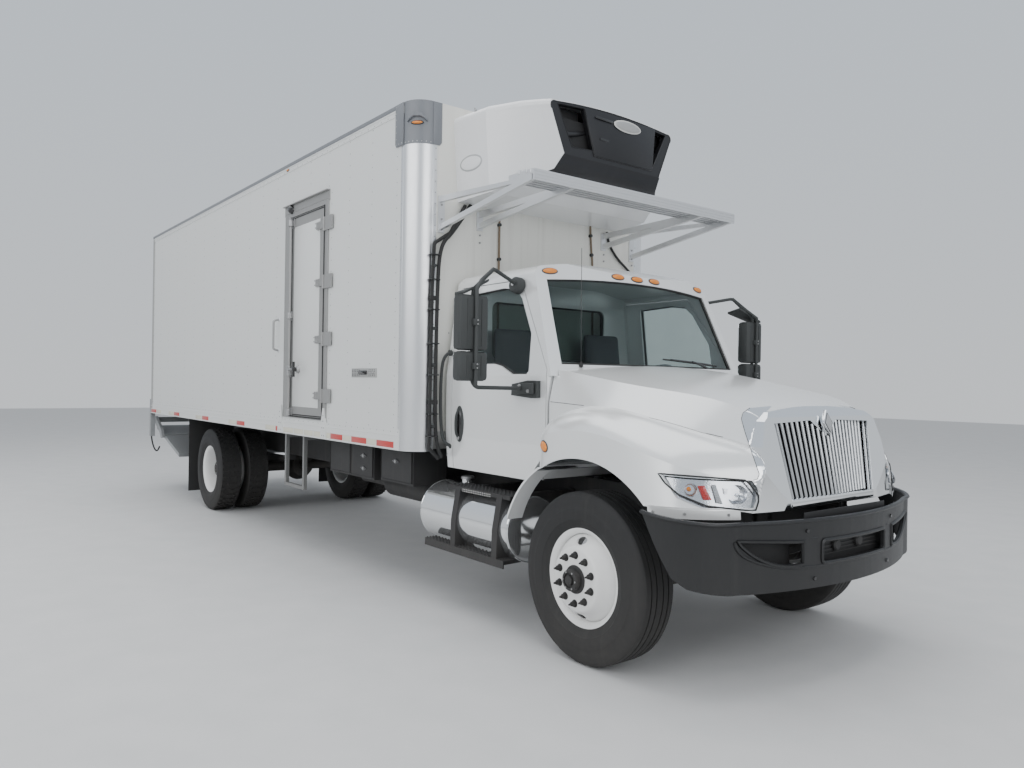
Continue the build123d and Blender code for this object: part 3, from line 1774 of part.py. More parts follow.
tank_radius = 225.0
tank_front = 740.0
tank_rear = 1849.0
tank_y = -900.0
tank_height = 666.0
strap_places = [1362.0, 857.0]
strap_half = 30.0
with BuildPart() as fuel_tank:
    with BuildSketch(Plane.YZ.offset(behind(tank_rear))):
        with Locations((tank_y, tank_height)):
            Circle(tank_radius)
    extrude(amount=tank_rear - tank_front)
    fillet(fuel_tank.edges(), 14)
    with BuildSketch(Plane.XY.offset(tank_height)):
        with Locations((behind(1620), tank_y + 60)):
            Circle(45)
    extrude(amount=tank_radius + 30)
finish(fuel_tank.part, "fuel_tank")

upper_step_height = 906.0
lower_step_height = 478.0
with BuildPart() as side_steps:
    block((behind(1504), behind(tank_front + 4)), (-1100, -905), (upper_step_height - 6, upper_step_height))
    block((behind(1504), behind(tank_front + 4)), (-1100, -1092), (upper_step_height - 26, upper_step_height))
    block((behind(1735), behind(tank_front + 4)), (-1150, -1050), (lower_step_height - 6, lower_step_height))
    block((behind(1735), behind(tank_front + 4)), (-1150, -1142), (lower_step_height - 53, lower_step_height))
    for place in strap_places:
        # A strap right round the tank, its bracket on the rail and the hangers of the steps
        with BuildSketch(Plane.YZ.offset(behind(place) - strap_half)):
            with Locations((tank_y, tank_height)):
                Circle(tank_radius + 6)
            with BuildLine():
                Polyline(
                    (-1100, upper_step_height - 4),
                    (-frame_half_width - panel_gap, upper_step_height - 4),
                    (-frame_half_width - panel_gap, rail_bottom + 10),
                    (-620, tank_height - 236),
                    (-940, tank_height - 236),
                    (-1146, lower_step_height - 52),
                    (-1146, lower_step_height),
                    (-1142, upper_step_height - 240),
                    close=True,
                )
            make_face()
            with Locations((tank_y, tank_height)):
                Circle(tank_radius + panel_gap, mode=Mode.SUBTRACT)
        extrude(amount=2 * strap_half)
finish(side_steps.part, "side_steps")

# Battery box with a step on the left
with BuildPart() as battery_box:
    block((behind(1500), behind(tank_front)), (frame_half_width + panel_gap, 1110), (430, 890))
    block((behind(1500) - 1, behind(tank_front) + 1), (930, 1111), (660, 891), mode=Mode.SUBTRACT)
    block((behind(1500), behind(tank_front)), (1100, 1130), (430, 470))
finish(battery_box.part, "battery_box")

# Air tanks between the rails and the exhaust outside the right one
with BuildPart() as air_tanks:
    for place, side in ((2900, -1), (2900, 1)):
        rod_along((behind(place + 420), side * 248, 800), (behind(place - 420), side * 248, 800), 85)
        block((behind(place + 20), behind(place - 20)), (side * 300, side * (frame_half_width - 9.3)), (760, 860))
finish(air_tanks.part, "air_tanks")

with BuildPart() as exhaust:
    rod_along((behind(3100), -640, 720), (behind(2150), -640, 720), 120)
    rod_along((behind(2160), -640, 720), (behind(1960), -640, 720), 50)
    rod_along((behind(3090), -640, 720), (behind(3700), -640, 720), 50)
    for place in (2300, 2950):
        block((behind(place + 20), behind(place - 20)), (-600, -frame_half_width - panel_gap), (790, 850))
finish(exhaust.part, "exhaust")

# Tool boxes hung from the crossmembers, each with a lid standing a little proud
tool_box_back = 780.0
tool_box_face = 1090.0
tool_boxes_placed = [
    # rear end, front end, underside
    (3560, 2680, 812),
    (2560, 2020, 830),
]
lid_proud = 8.0
lid_border = 18.0
with BuildPart() as tool_boxes:
    for rear, front, low in tool_boxes_placed:
        block(
            (behind(rear), behind(front)),
            (-tool_box_face, -tool_box_back),
            (low, box_bottom - panel_gap),
        )
        block(
            (behind(rear - lid_border), behind(front + lid_border)),
            (-tool_box_face - lid_proud, -tool_box_face + 1),
            (low + lid_border, box_bottom - 2 * lid_border),
        )
finish(tool_boxes.part, "tool_boxes")

# Mud flaps behind the rear wheels
flap_place = 7675.0
with BuildPart() as mud_flaps:
    for side in (-1, 1):
        block(
            (behind(flap_place + 5), behind(flap_place - 5)),
            (side * 640, side * 1240),
            (150, box_bottom - panel_gap),
        )
finish(mud_flaps.part, "mud_flaps")

# Tail lift below the box's rear end, folded under it
lift_column_half = box_half_width + rail_proud - 0.5
lift_column_width = 62.0
lift_arm_gap = 102.0
with BuildPart() as tail_lift:
    for side in (-1, 1):
        block(
            (behind(box_rear + 75), behind(box_rear + panel_gap)),
            (side * (lift_column_half - lift_column_width), side * lift_column_half),
            (779, 1347),
        )
        side_prism(
            [
                (behind(box_rear + 70), 1085),
                (behind(box_rear), 1090),
                (behind(9150), 905),
                (behind(9060), 790),
                (behind(9150), 770),
                (behind(9240), 860),
                (behind(box_rear), 980),
                (behind(box_rear + 70), 1000),
            ],
            *sorted((side * (lift_column_half - lift_column_width), side * (lift_column_half - lift_arm_gap))),
        )
    block(
        (behind(box_rear + 74), behind(box_rear + 10)),
        (-lift_column_half + 30, lift_column_half - 30),
        (990, 1070),
    )
    side_prism(
        [
            (behind(9567), 890),
            (behind(9567), 939),
            (behind(8327), 599),
            (behind(8327), 550),
        ],
        -lift_column_half + 110,
        lift_column_half - 110,
    )
    block((behind(9567), behind(9520)), (-400, 400), (900, 1000))
    block(
        (behind(9170), behind(9110)),
        (-lift_column_half + 64, lift_column_half - 64),
        (790, 830),
    )
    block(
        (behind(box_rear + lift_reach), behind(box_rear + 60)),
        (-lift_column_half + 110, lift_column_half - 110),
        (1000, 1040),
    )
finish(tail_lift.part, "tail_lift")
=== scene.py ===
"""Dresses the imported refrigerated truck: finishes, tyres, lamps, fittings, floor, light and camera."""
import json
import math

import bmesh
import bpy
from mathutils import Matrix, Vector
from mathutils.bvhtree import BVHTree

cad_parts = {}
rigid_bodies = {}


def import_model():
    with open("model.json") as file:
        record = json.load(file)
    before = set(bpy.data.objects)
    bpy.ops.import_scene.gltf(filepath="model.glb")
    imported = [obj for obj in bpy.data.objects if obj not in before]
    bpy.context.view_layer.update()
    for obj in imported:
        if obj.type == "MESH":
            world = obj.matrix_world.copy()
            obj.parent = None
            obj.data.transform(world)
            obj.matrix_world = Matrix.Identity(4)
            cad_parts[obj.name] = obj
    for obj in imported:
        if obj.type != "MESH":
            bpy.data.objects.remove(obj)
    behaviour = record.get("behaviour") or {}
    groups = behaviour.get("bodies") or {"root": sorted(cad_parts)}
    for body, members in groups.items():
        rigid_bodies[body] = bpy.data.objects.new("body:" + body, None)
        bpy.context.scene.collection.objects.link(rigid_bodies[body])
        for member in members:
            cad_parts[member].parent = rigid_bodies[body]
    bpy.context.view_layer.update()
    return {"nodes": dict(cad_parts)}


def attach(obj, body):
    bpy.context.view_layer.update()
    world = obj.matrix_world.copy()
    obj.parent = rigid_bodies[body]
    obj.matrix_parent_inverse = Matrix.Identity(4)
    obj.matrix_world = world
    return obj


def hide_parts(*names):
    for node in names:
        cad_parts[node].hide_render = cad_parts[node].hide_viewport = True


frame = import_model()
nodes = frame["nodes"]

# Places are written in millimetres: ahead of the front axle, left of the middle, above the road

FRONT_AXLE = 4.2615
REAR_AXLE = -6910.0
BOX_SIDE = 1295.5
RAIL_SIDE = 1300.5
SIDES = {"right": -1, "left": 1}


def spot(ahead, left, up):
    return Vector((FRONT_AXLE + ahead / 1000, left / 1000, up / 1000))


def way(ahead, left, up):
    return Vector((ahead, left, up)) / 1000


# Camera at the photograph's place: angles are in degrees, its lens and its sensor in millimetres

LENS, SENSOR = 27.727, 36
EYE = Vector((7.7056, -4.3504, 1.6678))
yaw, pitch, roll = math.radians(142.156), math.radians(-0.035), math.radians(0.866)
look = Vector((math.cos(pitch) * math.cos(yaw), math.cos(pitch) * math.sin(yaw), math.sin(pitch)))
level = Vector((math.sin(yaw), -math.cos(yaw), 0))
rise = level.cross(look)
across_view = level * math.cos(roll) + rise * math.sin(roll)
up_view = rise * math.cos(roll) - level * math.sin(roll)
camera = bpy.data.objects.new("camera", bpy.data.cameras.new("camera"))
bpy.context.scene.collection.objects.link(camera)
camera.data.lens = LENS
camera.data.sensor_width = SENSOR
camera.data.clip_end = 200
turn = Matrix((across_view, up_view, -look)).transposed().to_4x4()
camera.matrix_world = Matrix.Translation(EYE) @ turn
bpy.context.scene.camera = camera


# Shader groups: weathering of a colour, and the height of a fine grain

def add_node(tree, kind, **settings):
    made = tree.nodes.new(kind)
    for name, value in settings.items():
        setattr(made, name, value)
    return made


def wire(tree, value, socket):
    """A link where the value is a socket, and otherwise the socket's own value."""
    if isinstance(value, bpy.types.NodeSocket):
        tree.links.new(value, socket)
    else:
        socket.default_value = value


def arithmetic(tree, operation, first, second=0.5, third=0.5, clamp=False):
    made = add_node(tree, "ShaderNodeMath", operation=operation, use_clamp=clamp)
    for value, socket in zip((first, second, third), made.inputs):
        wire(tree, value, socket)
    return made.outputs[0]


def spread(tree, value, low, high, out_low, out_high):
    made = add_node(tree, "ShaderNodeMapRange", clamp=True)
    for item, socket in zip((value, low, high, out_low, out_high), made.inputs):
        wire(tree, item, socket)
    return made.outputs[0]


def blended(tree, share, first, second):
    made = add_node(tree, "ShaderNodeMix", data_type="RGBA", blend_type="MIX")
    wire(tree, share, made.inputs[0])
    wire(tree, first, made.inputs[6])
    wire(tree, second, made.inputs[7])
    return made.outputs[2]


def noise(tree, place, scale, detail=3.0, stretch=None):
    if stretch is not None:
        stretched = add_node(tree, "ShaderNodeVectorMath", operation="MULTIPLY")
        wire(tree, place, stretched.inputs[0])
        wire(tree, stretch, stretched.inputs[1])
        place = stretched.outputs[0]
    made = add_node(tree, "ShaderNodeTexNoise")
    wire(tree, place, made.inputs["Vector"])
    wire(tree, scale, made.inputs["Scale"])
    wire(tree, detail, made.inputs["Detail"])
    return made.outputs[0]


def shader_group(name, inputs, outputs):
    tree = bpy.data.node_groups.new(name, "ShaderNodeTree")
    for label, kind, value in inputs:
        made = tree.interface.new_socket(label, in_out="INPUT", socket_type="NodeSocket" + kind)
        if value is not None:
            made.default_value = value
    for label, kind in outputs:
        tree.interface.new_socket(label, in_out="OUTPUT", socket_type="NodeSocket" + kind)
    return tree, tree.nodes.new("NodeGroupInput").outputs, tree.nodes.new("NodeGroupOutput").inputs


def weathering_group():
    """Road dust that thickens towards the road, thin runs down the sides, and a slight change of tone."""
    tree, given, result = shader_group(
        "weathering",
        [
            ("Place", "Vector", None),
            ("Colour", "Color", (0.8, 0.8, 0.8, 1)),
            ("Soil Colour", "Color", (0.33, 0.30, 0.26, 1)),
            ("Soil", "Float", 0.3),
            ("Soil Height", "Float", 1.0),
            ("Runs", "Float", 0.1),
            ("Tone", "Float", 0.05),
            ("Roughness", "Float", 0.4),
            ("Roughness Spread", "Float", 0.1),
        ],
        [("Colour", "Color"), ("Roughness", "Float")],
    )
    place = given["Place"]
    cloud = noise(tree, place, 0.9, 5.0)
    speckle = noise(tree, place, 26.0, 4.0)
    height = add_node(tree, "ShaderNodeSeparateXYZ")
    wire(tree, place, height.inputs[0])
    low = spread(tree, height.outputs[2], given["Soil Height"], 0.0, 0.0, 1.0)
    patchy = arithmetic(tree, "MULTIPLY_ADD", speckle, 0.9, 0.15)
    soil = arithmetic(tree, "MULTIPLY", arithmetic(tree, "MULTIPLY", low, patchy), given["Soil"])
    film = arithmetic(tree, "MULTIPLY", spread(tree, cloud, 0.45, 0.7, 0.0, 0.22), given["Soil"])
    runs = noise(tree, place, 1.0, 3.0, (17.0, 17.0, 0.45))
    run_mask = arithmetic(tree, "MULTIPLY", spread(tree, runs, 0.53, 0.72, 0.0, 1.0), given["Runs"])
    dirt = arithmetic(tree, "ADD", arithmetic(tree, "ADD", soil, film), run_mask, clamp=True)
    shade = arithmetic(tree, "MULTIPLY_ADD", arithmetic(tree, "SUBTRACT", cloud, 0.5), given["Tone"], 1.0)
    toned = add_node(tree, "ShaderNodeVectorMath", operation="SCALE")
    wire(tree, given["Colour"], toned.inputs[0])
    wire(tree, shade, toned.inputs["Scale"])
    wire(tree, blended(tree, dirt, toned.outputs[0], given["Soil Colour"]), result["Colour"])
    unevenness = arithmetic(tree, "SUBTRACT", speckle, 0.5)
    varied = arithmetic(tree, "MULTIPLY_ADD", unevenness, given["Roughness Spread"], given["Roughness"])
    wire(tree, arithmetic(tree, "MULTIPLY_ADD", dirt, 0.35, varied, clamp=True), result["Roughness"])
    return tree


def grain_group():
    """A grain's height: even for moulded plastic and paint, drawn out for brushed metal, wavy for sheet."""
    tree, given, result = shader_group(
        "grain",
        [
            ("Place", "Vector", None),
            ("Scale", "Float", 300.0),
            ("Stretch", "Vector", (1.0, 1.0, 1.0)),
            ("Waviness", "Float", 0.0),
        ],
        [("Height", "Float")],
    )
    fine = noise(tree, given["Place"], given["Scale"], 2.0, given["Stretch"])
    wave = noise(tree, given["Place"], 1.6, 1.0)
    wire(tree, arithmetic(tree, "MULTIPLY_ADD", wave, given["Waviness"], fine), result["Height"])
    return tree


weathering = weathering_group()
grain = grain_group()

# Each finish: its colour, roughness, metal, coat, soil, soil height in metres, runs, then the grain's scale,
# depth in metres, stretch and waviness

FINISHES = {
    "white_paint": ((0.92, 0.925, 0.92), 0.26, 0, 0.7, 0.18, 1.3, 0.03, 900, 0.00002, (1, 1, 1), 12),
    "panel_white": ((0.88, 0.885, 0.88), 0.24, 0, 0.5, 0.25, 1.5, 0.10, 400, 0.00004, (1, 1, 1), 60),
    "aged_white": ((0.79, 0.79, 0.745), 0.42, 0, 0.15, 0.2, 1.5, 0.14, 400, 0.00004, (1, 1, 1), 40),
    "unit_white": ((0.85, 0.86, 0.86), 0.34, 0, 0.4, 0.1, 1.0, 0.02, 700, 0.00003, (1, 1, 1), 6),
    "wheel_white": ((0.86, 0.86, 0.85), 0.36, 0, 0.3, 0.16, 0.75, 0.03, 500, 0.00003, (1, 1, 1), 0),
    "bumper_black": ((0.010, 0.0105, 0.0115), 0.42, 0, 0, 0.05, 1.0, 0.01, 650, 0.00025, (1, 1, 1), 0),
    "black_plastic": ((0.012, 0.0125, 0.0135), 0.44, 0, 0, 0.06, 1.2, 0.01, 900, 0.00012, (1, 1, 1), 0),
    "unit_black": ((0.012, 0.0125, 0.015), 0.36, 0, 0, 0.08, 2.0, 0.01, 700, 0.00012, (1, 1, 1), 4),
    "gloss_black": ((0.015, 0.015, 0.016), 0.18, 0, 0.5, 0.05, 1.0, 0.0, 600, 0.00002, (1, 1, 1), 0),
    "frame_black": ((0.018, 0.018, 0.019), 0.58, 0, 0, 0.12, 1.1, 0.05, 300, 0.0002, (1, 1, 1), 0),
    "axle_black": ((0.022, 0.021, 0.020), 0.62, 0.2, 0, 0.22, 1.0, 0.05, 260, 0.0003, (1, 1, 1), 0),
    "engine_grey": ((0.05, 0.05, 0.052), 0.6, 0.3, 0, 0.4, 1.4, 0.05, 260, 0.0003, (1, 1, 1), 0),
    "rubber": ((0.016, 0.016, 0.017), 0.66, 0, 0, 0.06, 1.2, 0.02, 420, 0.00015, (1, 1, 1), 0),
    "tyre_rubber": ((0.014, 0.014, 0.0145), 0.70, 0, 0, 0.10, 0.9, 0.02, 380, 0.00025, (1, 1, 1), 0),
    "chrome": ((0.83, 0.84, 0.85), 0.07, 1, 0, 0.04, 1.1, 0.0, 300, 0.00001, (1, 1, 1), 0),
    # chrome darkened for the grille bars: painted shade that stands in for the dark ground the bars reflect
    "chrome_painted_dark": ((0.52, 0.53, 0.54), 0.15, 1, 0, 0.04, 1.1, 0.0, 300, 0.00001, (1, 1, 1), 0),
    "polished": ((0.82, 0.83, 0.84), 0.12, 1, 0, 0.12, 0.9, 0.04, 260, 0.00004, (8, 1, 1), 6),
    "satin_post": ((0.78, 0.79, 0.80), 0.34, 1, 0, 0.10, 1.4, 0.03, 240, 0.00003, (1, 1, 0.03), 10),
    "aluminium": ((0.66, 0.67, 0.67), 0.40, 1, 0, 0.14, 1.3, 0.05, 260, 0.00005, (0.05, 1, 1), 8),
    "aged_aluminium": ((0.50, 0.50, 0.49), 0.5, 0.85, 0, 0.35, 1.3, 0.08, 260, 0.00008, (0.2, 1, 1), 10),
    "leaf_grey": ((0.36, 0.36, 0.355), 0.5, 0.6, 0, 0.2, 1.5, 0.07, 300, 0.00006, (1, 1, 0.1), 10),
    "galvanised": ((0.27, 0.275, 0.275), 0.52, 0.8, 0, 0.45, 1.2, 0.06, 30, 0.00015, (1, 1, 1), 0),
    "lift_grey": ((0.09, 0.092, 0.095), 0.55, 0.3, 0, 0.5, 1.3, 0.08, 300, 0.0002, (1, 1, 1), 0),
    "cap_grey": ((0.17, 0.172, 0.18), 0.55, 0, 0, 0.12, 2.0, 0.03, 700, 0.00015, (1, 1, 1), 6),
    "trim": ((0.07, 0.07, 0.075), 0.6, 0, 0, 0.05, 1.0, 0.0, 900, 0.0002, (1, 1, 1), 0),
    "seat_cloth": ((0.10, 0.105, 0.115), 0.85, 0, 0, 0.05, 1.0, 0.0, 1400, 0.0005, (1, 1, 1), 0),
    "drain_brown": ((0.20, 0.15, 0.10), 0.6, 0, 0, 0.2, 3.0, 0.2, 300, 0.0002, (1, 1, 1), 0),
    "tape_red": ((0.56, 0.035, 0.03), 0.36, 0, 0.3, 0.3, 1.3, 0.04, 1500, 0.0001, (1, 1, 1), 0),
    "tape_white": ((0.72, 0.70, 0.58), 0.4, 0, 0.3, 0.3, 1.3, 0.04, 1500, 0.0001, (1, 1, 1), 0),
    "amber": ((0.85, 0.26, 0.02), 0.18, 0, 0.6, 0.03, 1.0, 0.0, 240, 0.0006, (1, 1, 1), 0),
    "red_lens": ((0.55, 0.02, 0.015), 0.2, 0, 0.6, 0.1, 1.2, 0.0, 240, 0.0006, (1, 1, 1), 0),
    "reflector": ((0.72, 0.73, 0.75), 0.16, 1, 0, 0.0, 1.0, 0.0, 120, 0.0004, (1, 1, 1), 0),
    "lamp_frame": ((0.42, 0.43, 0.44), 0.4, 0.3, 0, 0.05, 1.0, 0.0, 500, 0.0001, (1, 1, 1), 0),
    "mirror_face": ((0.80, 0.82, 0.84), 0.03, 1, 0, 0.0, 1.0, 0.0, 10, 0.000005, (1, 1, 1), 0),
    "bolt_steel": ((0.40, 0.40, 0.40), 0.42, 0.9, 0, 0.2, 1.3, 0.05, 500, 0.00008, (1, 1, 1), 0),
    "rivet_grey": ((0.45, 0.455, 0.46), 0.4, 0.8, 0, 0.1, 1.3, 0.02, 500, 0.00005, (1, 1, 1), 0),
    "core_dark": ((0.016, 0.016, 0.017), 0.6, 0.2, 0, 0.1, 1.0, 0.0, 300, 0.0003, (1, 1, 1), 0),
    "label_pale": ((0.62, 0.62, 0.60), 0.5, 0, 0, 0.1, 4.0, 0.0, 400, 0.0001, (1, 1, 1), 0),
}


def finish_of(name):
    """The finish's material, made once from its row."""
    if name in bpy.data.materials:
        return bpy.data.materials[name]
    colour, rough, metal, coat, soil, soil_height, runs, scale, depth, stretch, waviness = FINISHES[name]
    made = bpy.data.materials.new(name)
    made.use_nodes = True
    tree = made.node_tree
    shader = tree.nodes["Principled BSDF"]
    shader.inputs["Metallic"].default_value = metal
    shader.inputs["Coat Weight"].default_value = coat
    shader.inputs["Coat Roughness"].default_value = 0.12
    place = add_node(tree, "ShaderNodeTexCoord").outputs["Object"]
    worn = add_node(tree, "ShaderNodeGroup", node_tree=weathering)
    wire(tree, place, worn.inputs["Place"])
    for label, value in (
        ("Colour", (*colour, 1)),
        ("Soil", soil),
        ("Soil Height", soil_height),
        ("Runs", runs),
        ("Roughness", rough),
    ):
        worn.inputs[label].default_value = value
    wire(tree, worn.outputs["Colour"], shader.inputs["Base Color"])
    wire(tree, worn.outputs["Roughness"], shader.inputs["Roughness"])
    texture = add_node(tree, "ShaderNodeGroup", node_tree=grain)
    wire(tree, place, texture.inputs["Place"])
    for label, value in (("Scale", scale), ("Stretch", stretch), ("Waviness", waviness)):
        texture.inputs[label].default_value = value
    bump = add_node(tree, "ShaderNodeBump")
    bump.inputs["Strength"].default_value = 1.0
    bump.inputs["Distance"].default_value = depth
    wire(tree, texture.outputs["Height"], bump.inputs["Height"])
    wire(tree, bump.outputs["Normal"], shader.inputs["Normal"])
    return made


def glass_finish(name, colour, rough, bend=1.45):
    """Clear glass with a film of road dust on it."""
    made = bpy.data.materials.new(name)
    made.use_nodes = True
    tree = made.node_tree
    shader = tree.nodes["Principled BSDF"]
    shader.inputs["Transmission Weight"].default_value = 1.0
    shader.inputs["IOR"].default_value = bend
    place = add_node(tree, "ShaderNodeTexCoord").outputs["Object"]
    film = noise(tree, place, 7.0, 5.0)
    wire(tree, spread(tree, film, 0.35, 0.8, rough, rough + 0.05), shader.inputs["Roughness"])
    darker = [value * 0.8 for value in colour]
    tint = blended(tree, spread(tree, film, 0.4, 0.9, 0.0, 0.25), (*colour, 1), (*darker, 1))
    wire(tree, tint, shader.inputs["Base Color"])
    return made


glass_finish("cab_glass", (0.60, 0.66, 0.65), 0.0, 1.15)
glass_finish("lamp_glass", (0.94, 0.95, 0.96), 0.01, 1.2)

# Finishes of the CAD's nodes

NODE_FINISHES = {
    "white_paint": ["cab_shell", "door_left", "door_right", "hood"],
    "panel_white": ["box_roof", "box_wall_left", "box_wall_right", "side_rails", "rear_door"],
    "aged_white": ["box_front_wall"],
    "unit_white": ["unit_shroud"],
    "unit_black": ["unit_front"],
    "core_dark": ["unit_core", "radiator"],
    "bumper_black": ["bumper"],
    "black_plastic": ["mirror_left", "mirror_right", "battery_box"],
    "frame_black": [
        "chassis_frame", "air_tanks", "hood_frame", "leaf_springs", "exhaust", "side_steps", "tool_boxes",
    ],
    "axle_black": ["front_axle", "rear_axle", "driveshaft", "knuckle_left", "knuckle_right", "tie_rod"],
    "engine_grey": ["engine"],
    "aged_aluminium": ["rear_frame", "box_floor"],
    "cab_glass": ["cab_glass", "door_glass_left", "door_glass_right"],
    "chrome": ["grille_bars", "grille_surround"],
    "trim": ["dashboard"],
    "aluminium": ["unit_platform"],
    "satin_post": ["corner_posts"],
    "cap_grey": ["corner_caps"],
    "leaf_grey": ["side_door", "side_door_frame"],
    "galvanised": ["hoop_step"],
    "polished": ["fuel_tank"],
    "rubber": ["mud_flaps", "wall_hoses"],
    "lift_grey": ["tail_lift"],
    "lamp_glass": ["headlamps"],
    "tyre_rubber": ["tyre_front_left", "tyre_front_right", "tyres_rear_left", "tyres_rear_right"],
    "wheel_white": ["wheel_front_left", "wheel_front_right", "wheels_rear_left", "wheels_rear_right"],
    "seat_cloth": ["seats"],
}
for finish_name, names in NODE_FINISHES.items():
    for name in names:
        nodes[name].data.materials.clear()
        nodes[name].data.materials.append(finish_of(finish_name))


# Shape makers: each gives a mesh, which a piece then takes with its finish

def ended(made, edge=0.0, steps=2, smooth=35):
    """Merges a shape's doubles, rounds its edges and turns its faces outwards."""
    bmesh.ops.remove_doubles(made, verts=made.verts, dist=1e-5)
    if edge:
        sharp = [e for e in made.edges if e.is_manifold and e.calc_face_angle(0) > math.radians(30)]
        bmesh.ops.bevel(
            made,
            geom=sharp,
            offset=edge / 1000,
            segments=steps,
            profile=0.5,
            affect="EDGES",
            clamp_overlap=True,
        )
    bmesh.ops.recalc_face_normals(made, faces=made.faces)
    mesh = bpy.data.meshes.new("shape")
    made.to_mesh(mesh)
    made.free()
    mesh.shade_smooth()
    mesh.set_sharp_from_angle(angle=math.radians(smooth))
    return mesh


def block(low, high, edge=2.0):
    """A box between two corners, with rounded edges."""
    made = bmesh.new()
    bmesh.ops.create_cube(made, size=1.0)
    low, high = spot(*low), spot(*high)
    for corner in made.verts:
        corner.co = Vector([low[i] + (corner.co[i] + 0.5) * (high[i] - low[i]) for i in range(3)])
    return ended(made, edge)


def thicken(made, step):
    """Draws all faces of a shape out along a step."""
    outer = bmesh.ops.extrude_face_region(made, geom=list(made.faces))
    moved = [item for item in outer["geom"] if isinstance(item, bmesh.types.BMVert)]
    bmesh.ops.translate(made, vec=step, verts=moved)


def plate(outline, depth, edge=2.0):
    """A flat outline given as corners, drawn out along a direction."""
    made = bmesh.new()
    made.faces.new([made.verts.new(corner) for corner in outline])
    thicken(made, depth)
    return ended(made, edge)


def turned(profile, centre, axis, steps=72, loop=False, smooth=35):
    """A shape turned about an axis; the profile's points are (along the axis, radius)."""
    made = bmesh.new()
    axis = axis.normalized()
    first = axis.orthogonal().normalized()
    second = axis.cross(first)
    rings = []
    for along, radius in profile:
        middle = centre + axis * along / 1000
        if radius < 0.01:
            rings.append([made.verts.new(middle)] * steps)
            continue
        ring = []
        for index in range(steps):
            angle = math.tau * index / steps
            around = first * math.cos(angle) + second * math.sin(angle)
            ring.append(made.verts.new(middle + around * radius / 1000))
        rings.append(ring)
    pairs = list(zip(rings, rings[1:]))
    if loop:
        pairs.append((rings[-1], rings[0]))
    for inner, outer in pairs:
        for index in range(steps):
            after = (index + 1) % steps
            corners = []
            for corner in (inner[index], inner[after], outer[after], outer[index]):
                if corner not in corners:
                    corners.append(corner)
            if len(corners) > 2:
                made.faces.new(corners)
    return ended(made, smooth=smooth)


def evaluated_mesh(made):
    """The mesh that an object with its modifiers gives; the object itself goes."""
    bpy.context.scene.collection.objects.link(made)
    bpy.context.view_layer.update()
    depsgraph = bpy.context.evaluated_depsgraph_get()
    mesh = bpy.data.meshes.new_from_object(made.evaluated_get(depsgraph))
    bpy.data.objects.remove(made)
    return mesh


def pipe(points, radius, curved=False, ring=False, sides=3):
    """A round bar or hose along its points, straight between them or curved past them."""
    data = bpy.data.curves.new("pipe", "CURVE")
    data.dimensions = "3D"
    data.bevel_depth = radius / 1000
    data.bevel_resolution = sides
    data.use_fill_caps = True
    data.resolution_u = 10
    line = data.splines.new("NURBS" if curved else "POLY")
    line.points.add(len(points) - 1)
    for place, point in zip(line.points, points):
        place.co = (*point, 1)
    if curved:
        line.order_u = 3
        line.use_endpoint_u = not ring
    line.use_cyclic_u = ring
    mesh = evaluated_mesh(bpy.data.objects.new("pipe", data))
    made = bmesh.new()
    made.from_mesh(mesh)
    return ended(made, smooth=50)


def lens(centre, facing, along, sizes, steps=24):
    """A rounded lamp lens on a surface: half its length, half its height and its rise, in millimetres."""
    facing = facing.normalized()
    along = (along - facing * along.dot(facing)).normalized()
    upward = facing.cross(along)
    half_long, half_high, proud = [size / 1000 for size in sizes]
    made = bmesh.new()
    rings = []
    for level_share in (-0.25, 0.0, 0.3, 0.55, 0.78, 0.93):
        reach = 1.0 if level_share <= 0 else math.sqrt(1 - level_share**2)
        ring = []
        for index in range(steps):
            angle = math.tau * index / steps
            flat = along * math.cos(angle) * half_long * reach + upward * math.sin(angle) * half_high * reach
            ring.append(made.verts.new(centre + flat + facing * proud * level_share))
        rings.append(ring)
    for lower, upper in zip(rings, rings[1:]):
        for index in range(steps):
            after = (index + 1) % steps
            made.faces.new((lower[index], lower[after], upper[after], upper[index]))
    made.faces.new(rings[-1])
    made.faces.new(list(reversed(rings[0])))
    return ended(made, smooth=50)


# Nodes' surfaces, on which pieces are seated

surfaces = {}
reshaped = {}


def shape_of(name):
    """A node's mesh, or the reshaped skin that stands for it."""
    return reshaped.get(name, nodes[name].data)


def surface_of(name):
    if name not in surfaces:
        mesh = shape_of(name)
        places = [corner.co for corner in mesh.vertices]
        surfaces[name] = BVHTree.FromPolygons(places, [face.vertices[:] for face in mesh.polygons])
    return surfaces[name]


def seat_on(name, near, outward):
    """The nearest place on a node, and its direction outwards."""
    place, facing, _, _ = surface_of(name).find_nearest(near)
    return place, facing if facing.dot(outward) > 0 else -facing


def struck(name, start, direction):
    """Where a line first meets a node, and the surface's direction towards the start."""
    place, facing, _, _ = surface_of(name).ray_cast(start, direction.normalized())
    if place is None:
        return None, None
    return place, facing if facing.dot(direction) < 0 else -facing


# Geometry Nodes: heads of fasteners on given places, a ring of lugs about an axle, and a line of slats

def nodes_tree(name, inputs):
    tree = bpy.data.node_groups.new(name, "GeometryNodeTree")
    for label, kind, value in inputs:
        made = tree.interface.new_socket(label, in_out="INPUT", socket_type="NodeSocket" + kind)
        if value is not None:
            made.default_value = value
    tree.interface.new_socket("Geometry", in_out="OUTPUT", socket_type="NodeSocketGeometry")
    return tree, tree.nodes.new("NodeGroupInput").outputs


def close_tree(tree, instances, given):
    """The last nodes of each tree: real faces with their material."""
    real = add_node(tree, "GeometryNodeRealizeInstances")
    wire(tree, instances, real.inputs[0])
    coloured = add_node(tree, "GeometryNodeSetMaterial")
    wire(tree, real.outputs[0], coloured.inputs["Geometry"])
    wire(tree, given["Finish"], coloured.inputs["Material"])
    wire(tree, coloured.outputs[0], add_node(tree, "NodeGroupOutput").inputs[0])


